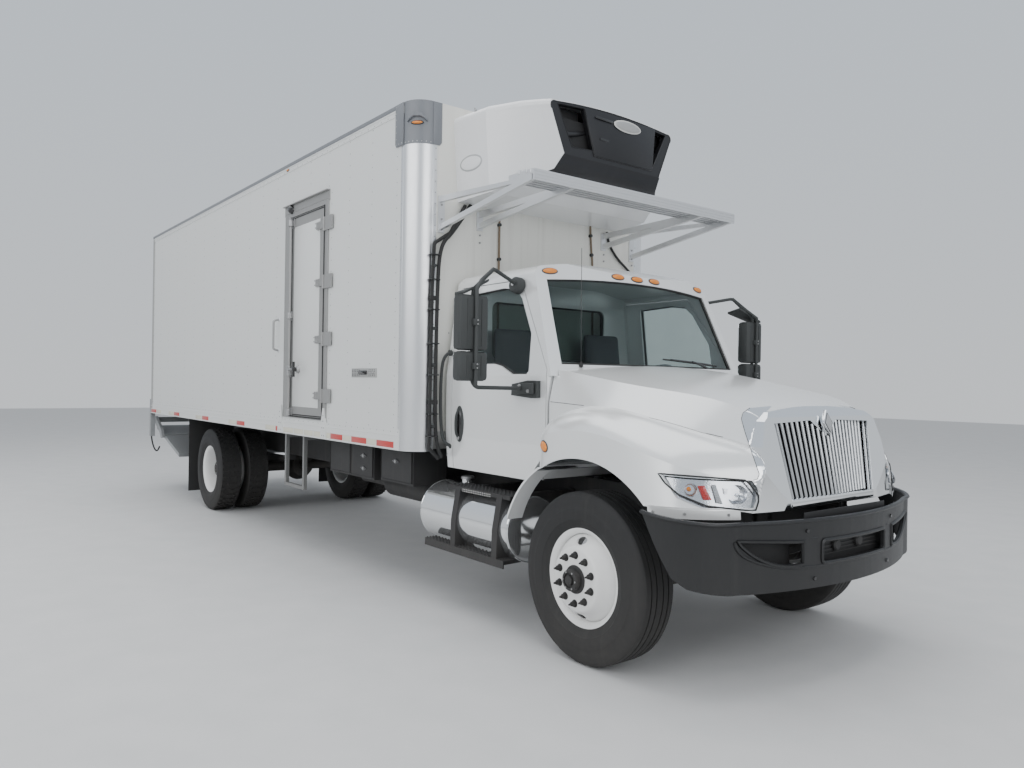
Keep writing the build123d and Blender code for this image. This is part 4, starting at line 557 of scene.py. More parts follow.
def fastener_tree():
    tree, given = nodes_tree(
        "fasteners",
        [
            ("Places", "Geometry", None),
            ("Radius", "Float", 0.005),
            ("Tip Radius", "Float", 0.003),
            ("Height", "Float", 0.002),
            ("Corners", "Int", 8),
            ("Finish", "Material", None),
        ],
    )
    head = add_node(tree, "GeometryNodeMeshCone")
    for socket, label in (
        ("Vertices", "Corners"),
        ("Radius Top", "Tip Radius"),
        ("Radius Bottom", "Radius"),
        ("Depth", "Height"),
    ):
        wire(tree, given[label], head.inputs[socket])
    facing = add_node(tree, "GeometryNodeInputNamedAttribute", data_type="FLOAT_VECTOR")
    facing.inputs["Name"].default_value = "facing"
    aimed = add_node(tree, "FunctionNodeAlignRotationToVector", axis="Z")
    wire(tree, facing.outputs[0], aimed.inputs["Vector"])
    placed = add_node(tree, "GeometryNodeInstanceOnPoints")
    wire(tree, given["Places"], placed.inputs["Points"])
    wire(tree, head.outputs[0], placed.inputs["Instance"])
    wire(tree, aimed.outputs[0], placed.inputs["Rotation"])
    close_tree(tree, placed.outputs[0], given)
    return tree


def lug_ring_tree():
    tree, given = nodes_tree(
        "lug_ring",
        [
            ("Count", "Int", 50),
            ("Radius", "Float", 0.5),
            ("Lug", "Vector", (0.03, 0.03, 0.012)),
            ("Skew", "Float", 0.0),
            ("Centre", "Vector", (0, 0, 0)),
            ("Finish", "Material", None),
        ],
    )
    ring = add_node(tree, "GeometryNodeMeshCircle")
    wire(tree, given["Count"], ring.inputs["Vertices"])
    wire(tree, given["Radius"], ring.inputs["Radius"])
    lug = add_node(tree, "GeometryNodeMeshCube")
    wire(tree, given["Lug"], lug.inputs["Size"])
    place = add_node(tree, "GeometryNodeInputPosition")
    aimed = add_node(tree, "FunctionNodeAlignRotationToVector", axis="Z")
    wire(tree, place.outputs[0], aimed.inputs["Vector"])
    placed = add_node(tree, "GeometryNodeInstanceOnPoints")
    wire(tree, ring.outputs[0], placed.inputs["Points"])
    wire(tree, lug.outputs[0], placed.inputs["Instance"])
    wire(tree, aimed.outputs[0], placed.inputs["Rotation"])
    skewed = add_node(tree, "GeometryNodeRotateInstances")
    wire(tree, placed.outputs[0], skewed.inputs["Instances"])
    angles = add_node(tree, "ShaderNodeCombineXYZ")
    wire(tree, given["Skew"], angles.inputs["Z"])
    wire(tree, angles.outputs[0], skewed.inputs["Rotation"])
    upright = add_node(tree, "GeometryNodeTransform")
    wire(tree, skewed.outputs[0], upright.inputs["Geometry"])
    wire(tree, given["Centre"], upright.inputs["Translation"])
    upright.inputs["Rotation"].default_value = (math.radians(90), 0, 0)
    close_tree(tree, upright.outputs[0], given)
    return tree


def slat_tree():
    tree, given = nodes_tree(
        "slats",
        [
            ("Count", "Int", 5),
            ("Start", "Vector", (0, 0, 0)),
            ("Step", "Vector", (0.02, 0, 0)),
            ("Slat", "Vector", (0.01, 0.1, 0.01)),
            ("Finish", "Material", None),
        ],
    )
    line = add_node(tree, "GeometryNodeMeshLine")
    wire(tree, given["Count"], line.inputs["Count"])
    wire(tree, given["Start"], line.inputs["Start Location"])
    wire(tree, given["Step"], line.inputs["Offset"])
    slat = add_node(tree, "GeometryNodeMeshCube")
    wire(tree, given["Slat"], slat.inputs["Size"])
    placed = add_node(tree, "GeometryNodeInstanceOnPoints")
    wire(tree, line.outputs[0], placed.inputs["Points"])
    wire(tree, slat.outputs[0], placed.inputs["Instance"])
    close_tree(tree, placed.outputs[0], given)
    return tree


fasteners = fastener_tree()
lug_ring = lug_ring_tree()
slats = slat_tree()


def grown(tree, values, places=None):
    """The plain mesh that a tree gives with these values."""
    holder = bpy.data.objects.new("grown", places or bpy.data.meshes.new("start"))
    modifier = holder.modifiers.new("grown", "NODES")
    modifier.node_group = tree
    for item in tree.interface.items_tree:
        if item.in_out == "INPUT" and item.name in values:
            modifier[item.identifier] = values[item.name]
    mesh = evaluated_mesh(holder)
    made = bmesh.new()
    made.from_mesh(mesh)
    return ended(made, smooth=25)


def heads(places, radius, tip, height, corners=8):
    """Rivet heads, bolts or nuts: places are (point, direction), sizes are in millimetres."""
    mesh = bpy.data.meshes.new("places")
    mesh.from_pydata([point for point, _ in places], [], [])
    facing = mesh.attributes.new("facing", "FLOAT_VECTOR", "POINT")
    facing.data.foreach_set("vector", [value for _, direction in places for value in direction])
    values = {"Radius": radius / 1000, "Tip Radius": tip / 1000, "Height": height / 1000, "Corners": corners}
    return grown(fasteners, values, mesh)


def row(first, last, gap, direction):
    """Places in a straight row, about a gap apart in millimetres."""
    first, last = spot(*first), spot(*last)
    count = max(1, round((last - first).length * 1000 / gap))
    return [(first.lerp(last, index / count), Vector(direction)) for index in range(count + 1)]


def slat_row(count, start, step, size):
    values = {"Count": count, "Start": spot(*start), "Step": way(*step), "Slat": way(*size)}
    return grown(slats, values)


def piece(name, shapes, body, stands_for=()):
    """One object from shapes with their finishes, riding on a body of the frame."""
    made = bmesh.new()
    finishes = []
    for mesh, finish_name in shapes:
        if finish_name not in finishes:
            finishes.append(finish_name)
        before = len(made.faces)
        made.from_mesh(mesh)
        made.faces.ensure_lookup_table()
        for index in range(before, len(made.faces)):
            made.faces[index].material_index = finishes.index(finish_name)
    mesh = bpy.data.meshes.new(name)
    made.to_mesh(mesh)
    made.free()
    for finish_name in finishes:
        mesh.materials.append(finish_of(finish_name))
    obj = bpy.data.objects.new(name, mesh)
    bpy.context.scene.collection.objects.link(obj)
    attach(obj, body)
    if stands_for:
        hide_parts(*stands_for)
    return obj


# Tyres and wheels: sections are (across from the middle, radius) in millimetres

AXLE_UP = 515
FRONT_TRACK = 1012
TWIN_TRACKS = (1076, 733)
TWIN_JOINT = 904.5
TYRE_HALF = [
    (100, 292), (112, 296), (124, 312), (133, 340), (134, 343), (137, 346), (139, 380), (139, 410),
    (138, 414), (136, 418), (135, 440), (132, 462), (127, 482), (126, 486), (121, 497), (114, 507),
    (106, 512),
]
RIBS = [(-106, -74), (-64, -31), (-21, 21), (31, 64), (74, 106)]
SHOULDER = 100
BARREL = [
    (-112, 297), (-106, 299), (-98, 288), (-92, 276), (-50, 266), (50, 266),
    (92, 276), (98, 288), (106, 299), (112, 297), (110, 288), (100, 272),
    (92, 264), (50, 258), (-50, 258), (-92, 264), (-100, 272), (-110, 288),
]
FRONT_DISC = [
    (52, 262), (70, 258), (92, 246), (112, 230), (136, 210), (156, 196), (165, 186), (168, 178), (168, 84),
    (156, 84), (156, 176), (148, 190), (128, 206), (104, 224), (82, 240), (60, 250), (44, 256),
]
HAND_HOLE_UP, HAND_HOLE = 222, (40, 21)
FRONT_CAP = [
    (120, 84), (172, 84), (176, 80), (178, 64), (214, 62), (218, 58),
    (219, 44), (210, 42), (209, 30), (224, 28), (226, 22), (226, 0),
]
FRONT_DRUM = [(-60, 0), (-60, 150), (40, 160), (120, 120), (122, 0)]
REAR_DISC = [
    (110, 258), (88, 252), (60, 236), (30, 214), (6, 196), (0, 186), (0, 110),
    (12, 110), (12, 182), (20, 190), (44, 206), (74, 228), (100, 244), (118, 250),
]
REAR_HUB = [(-80, 100), (60, 108), (120, 104), (170, 92), (200, 84), (204, 80), (204, 0)]
NUT_WASHER, NUT, STUD_END = (24, 22, 6, 16), (18, 15, 26, 6), (11, 5, 24, 10)
LUG_RING, LUG_RISE = 0.506, 0.018
LUG_ROWS = (
    # across, length, width, skew in radians, count
    (-92, 34, 32, 0.0, 44),
    (-48, 36, 34, 0.35, 40),
    (0, 36, 36, -0.35, 40),
    (48, 36, 34, 0.35, 40),
    (92, 34, 32, 0.0, 44),
)


def tyre_profile(grooved):
    """A tyre's section: its sidewalls, and a tread with grooves round it or plain under its lugs."""
    tread = []
    if grooved:
        for start, end in reversed(RIBS):
            tread += [(side, 512 if abs(side) > SHOULDER else 514) for side in (end, start)]
            if start > -SHOULDER:
                tread += [(start - 2, 502), (start - 8, 502)]
    else:
        tread = [(100, 503), (50, 504), (0, 504), (-50, 504), (-100, 503)]
    return TYRE_HALF[:-1] + tread + [(-across, radius) for across, radius in reversed(TYRE_HALF[:-1])]


def front_disc(centre, out):
    """The steered wheel's disc, bulging outwards, with its hand holes cut through."""
    mesh = turned(FRONT_DISC, centre, out, loop=True, smooth=50)
    holder = bpy.data.objects.new("disc", mesh)
    half_long, half_high = [size / 1000 for size in HAND_HOLE]
    for up in (-1, 1):
        middle = centre + Vector((0, 0, up * HAND_HOLE_UP / 1000))
        outline = []
        for index in range(24):
            angle = math.tau * index / 24
            around = Vector((half_long * math.cos(angle), 0, half_high * math.sin(angle)))
            outline.append(middle + around + out * 0.03)
        cutter = bpy.data.objects.new("cutter", plate(outline, out * 0.2, 0))
        bpy.context.scene.collection.objects.link(cutter)
        hole = holder.modifiers.new("hole", "BOOLEAN")
        hole.object = cutter
        hole.solver = "EXACT"
    mesh = evaluated_mesh(holder)
    for cutter in [obj for obj in bpy.data.objects if obj.name.startswith("cutter")]:
        bpy.data.objects.remove(cutter)
    made = bmesh.new()
    made.from_mesh(mesh)
    return ended(made, smooth=40)


def nut_ring(finish_name, size, centre, out, along, radius=142.9, count=10, first=0.5):
    """Heads in a ring about an axle."""
    places = []
    for index in range(count):
        angle = math.tau * (index + first) / count
        offset = Vector((math.cos(angle), 0, math.sin(angle))) * radius / 1000
        places.append((centre + offset + out * along / 1000, out))
    return (heads(places, *size), finish_name)


def lugs(centre, out):
    """Block tread: two shoulder rows and three rows between them."""
    shapes = []
    for across, length, width, skew, count in LUG_ROWS:
        values = {
            "Count": count,
            "Radius": LUG_RING,
            "Lug": (width / 1000, length / 1000, LUG_RISE),
            "Skew": skew,
            "Centre": centre + out * across / 1000,
        }
        shapes.append((grown(lug_ring, values), "tyre_rubber"))
    return shapes


for side_name, side in SIDES.items():
    out = Vector((0, side, 0))
    hub = spot(0, side * FRONT_TRACK, AXLE_UP)
    tread = turned(tyre_profile(True), hub, out, 96, loop=True, smooth=28)
    wheel = "wheel_front_" + side_name
    piece("tread_front_" + side_name, [(tread, "tyre_rubber")], wheel, ["tyre_front_" + side_name])
    piece("wheel_disc_front_" + side_name, [
        (turned(BARREL, hub, out, loop=True, smooth=60), "wheel_white"),
        (front_disc(hub, out), "wheel_white"),
        (turned(FRONT_CAP, hub, out, 48, smooth=30), "frame_black"),
        nut_ring("frame_black", NUT_WASHER, hub, out, 167),
        nut_ring("frame_black", NUT, hub, out, 168),
        nut_ring("frame_black", STUD_END, hub, out, 192),
        nut_ring("bolt_steel", (7, 6, 20, 6), hub, out, 200, 52, 6, 0),
        (turned(FRONT_DRUM, hub, out, 40), "axle_black"),
    ], wheel, [wheel])

    treads, discs = [], []
    for track in TWIN_TRACKS:
        centre = spot(REAR_AXLE, side * track, AXLE_UP)
        treads.append((turned(tyre_profile(False), centre, out, 80, loop=True, smooth=28), "tyre_rubber"))
        treads += lugs(centre, out)
        discs.append((turned(BARREL, centre, out, loop=True, smooth=60), "wheel_white"))
    joint = spot(REAR_AXLE, side * TWIN_JOINT, AXLE_UP)
    for facing in (out, -out):
        discs.append((turned(REAR_DISC, joint, facing, loop=True, smooth=50), "wheel_white"))
    discs += [
        (turned(REAR_HUB, joint, out, 48, smooth=30), "axle_black"),
        nut_ring("frame_black", NUT, joint, out, 12),
        nut_ring("frame_black", STUD_END, joint, out, 36),
        nut_ring("bolt_steel", (9, 8, 12, 6), joint, out, 202, 62, 8),
    ]
    wheels = "wheels_rear_" + side_name
    piece("tread_rear_" + side_name, treads, wheels, ["tyres_rear_" + side_name])
    piece("wheel_discs_rear_" + side_name, discs, wheels, [wheels])

# Directions, and short makers of shapes with their finishes

AHEAD = Vector((1, 0, 0))
BACK = Vector((-1, 0, 0))
LEFT = Vector((0, 1, 0))
RIGHT = Vector((0, -1, 0))
UP = Vector((0, 0, 1))
RIVET = (5.5, 3.2, 2.2, 7)


def spots(*places):
    return [spot(*place) for place in places]


def rod(finish_name, radius, *places, curved=False, ring=False, sides=3):
    """A bar or hose through places."""
    return (pipe(spots(*places), radius, curved, ring, sides), finish_name)


def slab(finish_name, low, high, edge=2.0):
    """A box between two corners."""
    return (block(low, high, edge), finish_name)


def sheet(finish_name, depth, edge, *corners):
    """A flat outline through places, drawn out along a way."""
    return (plate(spots(*corners), way(*depth), edge), finish_name)


def patch(finish_name, centre, depth, edge, *corners):
    """A flat outline about one place, drawn out along a way."""
    return (plate([centre + way(*corner) for corner in corners], way(*depth), edge), finish_name)


def studs(finish_name, size, direction, *places):
    """Heads that face one way; their size is radius, tip radius, height and corners."""
    return (heads([(spot(*place), direction) for place in places], *size), finish_name)


def spun(finish_name, profile, place, axis, steps):
    """A shape turned about an axis through a place."""
    return (turned(profile, place, axis, steps), finish_name)


def lamp_on(place, facing, along, rim, dome, colour):
    """A lamp: a dark rim under a coloured dome, each with half its length, half its height and its rise."""
    return [(lens(place, facing, along, rim), "black_plastic"), (lens(place, facing, along, dome), colour)]


# Places on nodes, found through points of the picture

PHOTO_WIDTH, PHOTO_HEIGHT = 1024, 768


def on_photo(across, down):
    """The direction in which the camera sees a point of the picture."""
    focus = LENS / SENSOR * PHOTO_WIDTH
    sideways = across_view * (across - PHOTO_WIDTH / 2) / focus
    return look + sideways - up_view * (down - PHOTO_HEIGHT / 2) / focus


def seen_on(name, across, down):
    """The place of a node nearest to a point of the picture, and its direction towards the camera."""
    eye, sight = camera.matrix_world.translation, on_photo(across, down).normalized()
    place, facing = struck(name, eye, sight)
    if place is None:
        along = [surface_of(name).find_nearest(eye + sight * step / 20) for step in range(40, 400)]
        beside = [(found[0], found[1], (found[0] - eye).cross(sight).length) for found in along]
        place, facing, _ = min(beside, key=lambda found: found[2])
        facing = facing if facing.dot(sight) < 0 else -facing
    return place, facing


def mirrored_mesh(mesh):
    """The same shape on the other side of the truck."""
    made = bmesh.new()
    made.from_mesh(mesh)
    for corner in made.verts:
        corner.co.y = -corner.co.y
    bmesh.ops.reverse_faces(made, faces=made.faces)
    return ended(made)


def mirrored(shapes):
    return [(mirrored_mesh(mesh), finish_name) for mesh, finish_name in shapes]


def both_sides(shapes):
    return shapes + mirrored(shapes)


def edge_loops(name, least, keep):
    """The sharp edges of a node as closed or open lines of points."""
    made = bmesh.new()
    made.from_mesh(shape_of(name))
    bmesh.ops.remove_doubles(made, verts=made.verts, dist=1e-4)
    bmesh.ops.dissolve_limit(made, angle_limit=math.radians(1), verts=made.verts, edges=made.edges)
    sharp = [e for e in made.edges if e.is_manifold and e.calc_face_angle(0) > math.radians(least)]
    edges = [e for e in sharp if keep is None or keep((e.verts[0].co + e.verts[1].co) / 2)]
    lines = []
    while edges:
        start = edges.pop()
        line = [start.verts[0], start.verts[1]]
        for _ in range(2):
            while True:
                following = next((e for e in line[-1].link_edges if e in edges), None)
                if following is None:
                    break
                edges.remove(following)
                line.append(following.other_vert(line[-1]))
            line.reverse()
        closed = line[0] == line[-1]
        lines.append(([corner.co.copy() for corner in (line[:-1] if closed else line)], closed))
    made.free()
    return lines


def trim_along(name, radius, least, shortest, keep=None):
    """Round trim along the sharp edges of a node, all of them or those that pass a test."""
    shapes = []
    for line, closed in edge_loops(name, least, keep):
        if sum((b - a).length for a, b in zip(line, line[1:])) > shortest:
            shapes.append(pipe(line, radius, ring=closed, sides=1))
    return shapes


def ahead_of(place):
    """How far ahead of the front axle a place is, in millimetres."""
    return (place.x - FRONT_AXLE) * 1000


# Cab: window rubbers, roof lamps, wipers, aerial, handles and mirrors' details

ROOF_LAMPS = ((-720, -793, 2456), (-619, -197, 2475), (-611, 0, 2474), (-619, 197, 2475), (-720, 793, 2456))
WIPERS = (
    # foot, tip and pivot in the picture
    ((582, 366), (642, 367), (624, 370)),
    ((662, 360), (715, 367), (708, 371)),
)

cab_shapes = [(mesh, "rubber") for mesh in trim_along("cab_glass", 13, 60, 0.4)]
for place in spots(*ROOF_LAMPS):
    base, facing = seat_on("cab_shell", place, Vector((1, 0, 1)))
    cab_shapes += lamp_on(base, facing, LEFT, (66, 27, 9), (58, 21, 24), "amber")
for foot, tip, pivot in WIPERS:
    low_end, facing = seen_on("cab_glass", *foot)
    far_end, _ = seen_on("cab_glass", *tip)
    base, _ = seen_on("cab_glass", *pivot)
    lift = facing * 0.02
    middle = low_end.lerp(far_end, 0.5)
    blade = [low_end + facing * 0.012, middle + facing * 0.016, far_end + facing * 0.012]
    spine = [low_end.lerp(far_end, 0.12) + lift, middle + lift * 1.5, low_end.lerp(far_end, 0.88) + lift]
    arm = [middle + lift * 1.5, middle.lerp(base, 0.5) + facing * 0.035, base + facing * 0.02 - UP * 0.02]
    cab_shapes += [
        (pipe(blade, 6, True), "rubber"),
        (pipe(spine, 7, True), "gloss_black"),
        (pipe(arm, 9, True), "gloss_black"),
        spun("gloss_black", [(-10, 22), (22, 20), (28, 12), (28, 0)], base - UP * 0.03, facing, 20),
    ]
piece("cab_trim", cab_shapes, "chassis")

aerial_foot, _ = struck("hood", spot(-430, -760, 2600), -UP)
aerial_foot = aerial_foot or spot(-430, -760, 1790)
piece("aerial", [
    (pipe([aerial_foot - UP * 0.01, aerial_foot + Vector((-0.01, 0, 0.79))], 2.2), "gloss_black"),
    spun("rubber", [(-4, 16), (10, 14), (30, 7), (30, 0)], aerial_foot, UP, 20),
], "hood")

MIRROR_AXIS = Vector((0.2, -1, 0.1))
GRIP = ((0.10, 0.005), (0.085, 0.028), (0, 0.034), (-0.085, 0.028), (-0.10, 0.005))
door_shapes = [(mesh, "rubber") for mesh in trim_along("door_glass_right", 10, 60, 0.4)]
handle, facing = struck("door_right", spot(-1496, -2000, 1358), LEFT)
door_shapes += [
    (lens(handle, facing, UP, (137, 60, 10), 32), "black_plastic"),
    (lens(handle + facing * 0.002, facing, UP, (112, 40, 15), 32), "gloss_black"),
    (pipe([handle + facing * proud + UP * up for up, proud in GRIP], 11, True), "black_plastic"),
    spun("bolt_steel", [(-2, 16), (4, 15), (6, 9), (6, 0)], handle + facing * 0.012 - UP * 0.105, facing, 20),
    slab("black_plastic", (-730, -1074, 1600), (-560, -1052, 1672), 8),
    studs("bolt_steel", (13, 11, 9, 6), RIGHT, (-600, -1074, 1620), (-690, -1074, 1655)),
    spun("black_plastic", [(-20, 60), (22, 56), (40, 40), (44, 0)], spot(-880, -960, 2352), MIRROR_AXIS, 28),
    spun("bolt_steel", [(-4, 12), (4, 11), (4, 0)], spot(-874, -1004, 2356), MIRROR_AXIS, 16),
]
for low, high in ((1686, 1862), (1882, 2222)):
    middle = (low + high) / 2
    door_shapes += [
        slab("black_plastic", (-748, -1583.5, low - 6), (-648, -1364, high + 6), 26),
        (slat_row(3, (-650, -1530, middle), (0, 55, 0), (9, 8, high - low - 40)), "black_plastic"),
        slab("mirror_face", (-752, -1570, low + 10), (-747, -1380, high - 10), 3),
        slab("black_plastic", (-660, -1500, middle - 22), (-618, -1450, middle + 22), 8),
        studs("bolt_steel", (6, 5, 5, 6), AHEAD, (-618, -1475, middle - 12), (-618, -1475, middle + 12)),
    ]
door_shapes += [
    rod("black_plastic", 13,
        (-632, -1475, 1650), (-632, -1475, 2262), (-690, -1400, 2330), (-735, -1270, 2420)),
    sheet("black_plastic", (0, 0, 18), 4,
          (-650, -1560, 2226), (-760, -1560, 2226), (-830, -1330, 2300), (-700, -1330, 2330)),
]
GRAB_LINE = ((-1636, 1012, 1896), (-1655, 1052, 1880), (-1688, 1056, 1740), (-1691, 1056, 1512),
             (-1680, 1056, 1330), (-1650, 1050, 1200), (-1632, 1000, 1183))
for side_name, side in SIDES.items():
    out = Vector((0, side, 0))
    shapes = door_shapes if side < 0 else mirrored(door_shapes)
    piece("door_trim_" + side_name, shapes, "door_" + side_name)
    grab = [spot(ahead, side * left, up) for ahead, left, up in GRAB_LINE]
    piece("grab_handle_" + side_name, [
        (pipe(grab, 13, True), "black_plastic"),
        spun("black_plastic", [(-12, 24), (6, 22), (10, 12), (10, 0)], grab[0], out, 20),
        spun("black_plastic", [(-20, 24), (2, 22), (6, 12), (6, 0)], grab[-1], out, 20),
        studs("bolt_steel", (8, 5, 4), out, (-1655, side * 1011, 2050), (-1655, side * 1011, 1120)),
    ], "chassis")

# Hood: parting lines, marker lamps, the strip below the fenders, and lamps behind clear lenses

PARTING_LINE = (
    (-455, -1010, 1553), (-150, -990, 1538), (340, -930, 1481), (600, -800, 1415), (783, -640, 1357),
)
LAMP_LINE = ((585, -1080, 1184), (480, -1110, 1186), (330, -1140, 1190))
STRIP_BOLTS = (1, 6, 11)


def line_on(name, points, radius, finish_name, outward):
    """A thin line that lies on a node, through the places nearest to its points."""
    laid = []
    for first, last in zip(points, points[1:]):
        for share in range(8):
            laid.append(seat_on(name, first.lerp(last, share / 8), outward)[0])
    laid.append(seat_on(name, points[-1], outward)[0])
    return (pipe(laid, radius, sides=1), finish_name)


def fender_strip():
    """The strip below the right fender, and the line that it hangs from."""
    found = [struck("hood", spot(place, -1500, 1020), LEFT)[0] for place in range(470, 900, 30)]
    line = [base for base in found if base is not None]
    made = bmesh.new()
    lower = [made.verts.new(base + Vector((0, 0.004, -0.058))) for base in line]
    upper = [made.verts.new(base + Vector((0, -0.003, 0.004))) for base in line]
    for index in range(len(line) - 1):
        made.faces.new((lower[index], lower[index + 1], upper[index + 1], upper[index]))
    thicken(made, LEFT * 0.006)
    return ended(made), line


marker, facing = seat_on("hood", spot(-341, -1175, 1278), RIGHT)
strip, strip_line = fender_strip()
strip_bolts = [(strip_line[index] + Vector((0, 0.001, -0.03)), Vector((0.3, -1, 0))) for index in STRIP_BOLTS]
hood_shapes = [
    line_on("hood", spots(*PARTING_LINE), 1.8, "gloss_black", RIGHT),
    line_on("hood", spots(*LAMP_LINE), 1.8, "gloss_black", RIGHT),
    *lamp_on(marker, facing, Vector((1, 0, -0.3)), (58, 36, 6), (52, 30, 16), "amber"),
    (strip, "white_paint"),
    (heads(strip_bolts, 9, 7, 6, 10), "bolt_steel"),
]
piece("hood_trim", both_sides(hood_shapes), "hood")

LAMP_TOP = ((658.2, 473.7), (746.2, 480.4), (756.7, 492.8), (767.8, 511.9))
LAMP_FOOT = ((658.2, 473.7), (664.9, 483.2), (678.3, 494.7), (707.0, 506.2), (754.8, 511.5), (767.8, 511.9))
LAMP_OUT = Vector((0.42, -0.82, 0.38)).normalized()
COVER_DEPTH = 2.5


def lamp_skin(inset, depth):
    """The outer faces of the right headlamp, moved inwards and closed to a thin wall."""
    made = bmesh.new()
    made.from_mesh(nodes["headlamps"].data)
    bmesh.ops.remove_doubles(made, verts=made.verts, dist=1e-4)
    unwanted = [f for f in made.faces if f.normal.dot(LAMP_OUT) < 0.55 or f.calc_center_median().y > 0]
    bmesh.ops.delete(made, geom=unwanted, context="FACES")
    bmesh.ops.translate(made, vec=-LAMP_OUT * inset / 1000, verts=made.verts)
    thicken(made, -LAMP_OUT * depth / 1000)
    return ended(made, smooth=40)


def along_line(corners, share):
    """The picture point at a share of the length of a line of picture points."""
    points = [Vector(corner) for corner in corners]
    lengths = [(last - first).length for first, last in zip(points, points[1:])]
    left_over = share * sum(lengths)
    for first, last, length in zip(points, points[1:], lengths):
        if left_over <= length:
            return first.lerp(last, left_over / length)
        left_over -= length
    return points[-1]


def nearest_seen(point, names):
    """The place that the camera sees first on some nodes."""
    eye = camera.matrix_world.translation
    found = [struck(name, eye, on_photo(*point)) for name in names]
    hits = [hit[0] for hit in found if hit[0] is not None]
    return min(hits, key=lambda hit: (hit - eye).length) if hits else seen_on("hood", *point)[0]


def cover_over(names, first_line, last_line, proud, columns=32, rows=10):
    """A thin cover that lies over nodes between two lines of the picture, and its rim."""
    made = bmesh.new()
    grid = []
    for column in range(columns + 1):
        top, foot = along_line(first_line, column / columns), along_line(last_line, column / columns)
        places = [nearest_seen(top.lerp(foot, level_row / rows), names) for level_row in range(rows + 1)]
        grid.append([made.verts.new(place + LAMP_OUT * proud / 1000) for place in places])
    for first, last in zip(grid, grid[1:]):
        for upper in range(rows):
            made.faces.new((first[upper], first[upper + 1], last[upper + 1], last[upper]))
    rim = [line[0].co.copy() for line in grid] + [line[-1].co.copy() for line in reversed(grid)]
    bmesh.ops.remove_doubles(made, verts=made.verts, dist=1e-4)
    thicken(made, -LAMP_OUT * COVER_DEPTH / 1000)
    return ended(made, smooth=60), rim


def in_lamp(across, down, inset):
    return seen_on("headlamps", across, down)[0] - LAMP_OUT * inset / 1000


def lamp_bar(finish_name, depth, *corners):
    """A flat bar inside the lamp, through points of the picture."""
    outline = [in_lamp(across, down, 22) for across, down in corners]
    return (plate(outline, LAMP_OUT * depth, 1.5), finish_name)


LARGE_BOWL = [(-14, 10), (-12, 22), (-4, 38), (10, 50), (12, 52), (6, 53), (-10, 40), (-18, 22), (-18, 0)]
SMALL_BOWL = [(-14, 8), (-12, 18), (-2, 30), (4, 34), (2, 36), (-8, 24), (-18, 10), (-18, 0)]
cover, cover_rim = cover_over(("hood", "headlamps"), LAMP_TOP, LAMP_FOOT, 3.0)
bowl = in_lamp(737, 494, 20)
fins = in_lamp(724, 488, 16)
lamp_shapes = [
    (cover, "lamp_glass"),
    (lamp_skin(30, 14), "reflector"),
    (pipe(cover_rim, 4.5, ring=True, sides=1), "rubber"),
    spun("reflector", LARGE_BOWL, bowl, LAMP_OUT, 40),
    spun("reflector", [(-10, 9), (6, 8), (12, 5), (13, 0)], bowl, LAMP_OUT, 20),
    spun("reflector", SMALL_BOWL, in_lamp(690, 489, 22), LAMP_OUT, 32),
    (lens(in_lamp(688, 488, 20), LAMP_OUT, AHEAD, (13, 12, 14)), "amber"),
    lamp_bar("red_lens", 0.008, (697, 485), (704, 485), (711, 499), (703, 499)),
    lamp_bar("lamp_frame", 0.010, (711, 484), (715, 484), (722, 503), (716, 502)),
    (slat_row(6, (ahead_of(fins), fins.y * 1000, fins.z * 1000), (0, 0, -5), (40, 3, 1.6)), "reflector"),
]
piece("headlamp_units", both_sides(lamp_shapes), "hood", ["headlamps"])

# Chrome beside the grille: it reaches back over the hood's corners down to the lamps

CHROME_BACK = (
    (750.0, 408.0), (743.0, 413.0), (741.4, 419.0), (745.0, 432.0), (752.0, 453.0),
    (759.6, 474.5), (757.5, 479.5), (748.5, 481.6), (757.0, 491.5), (766.0, 509.0),
)
CHROME_AHEAD = (
    (772.0, 406.0), (765.0, 413.0), (763.0, 419.0), (765.0, 432.0), (770.0, 453.0),
    (775.0, 474.5), (777.0, 479.5), (778.5, 481.6), (781.0, 491.5), (785.0, 509.0),
)
CHROME_COLUMNS = 60
corner_chrome, chrome_rim = cover_over(("hood",), CHROME_BACK, CHROME_AHEAD, 1.6, CHROME_COLUMNS, 8)
chrome_shapes = [
    (corner_chrome, "chrome"),
    (pipe(chrome_rim[:CHROME_COLUMNS + 1], 1.8, sides=1), "gloss_black"),
]
piece("corner_chrome", both_sides(chrome_shapes), "hood")

# Grille: rounded upright bars that fill the opening, a plain emblem plate and the foot bar

BARS = 11
BAR_FOOT, BAR_HEAD, BAR_RISE = 1046, 1474, 421
FOOT_HALF, HEAD_HALF = 433, 494
NOTCH_END, NOTCH_HALF, NOTCH_FOOT, NOTCH_RISE = 130, 140, 1394, 78
BAR_AHEAD, PROW, LEAN, LEAN_FOOT = 906, 46, 0.19, 1044
EMBLEM = ((917, 0, 1387), (901, -50, 1463), (885, 0, 1540), (901, 50, 1463))


def bar_line(side, share):
    """One bar's places, from its foot up; the bars lean out with the opening and back with the prow."""
    head_left, foot_left = side * HEAD_HALF * share, side * FOOT_HALF * share
    in_notch = abs(head_left) <= NOTCH_END
    head = NOTCH_FOOT + abs(head_left) / NOTCH_HALF * NOTCH_RISE if in_notch else BAR_HEAD
    line = []
    for step in range(7):
        up = BAR_FOOT + (head - BAR_FOOT) * step / 6
        left = foot_left + (head_left - foot_left) * (up - BAR_FOOT) / BAR_RISE
        line.append(spot(BAR_AHEAD + PROW * (1 - share) - (up - LEAN_FOOT) * LEAN, left, up))
    return line


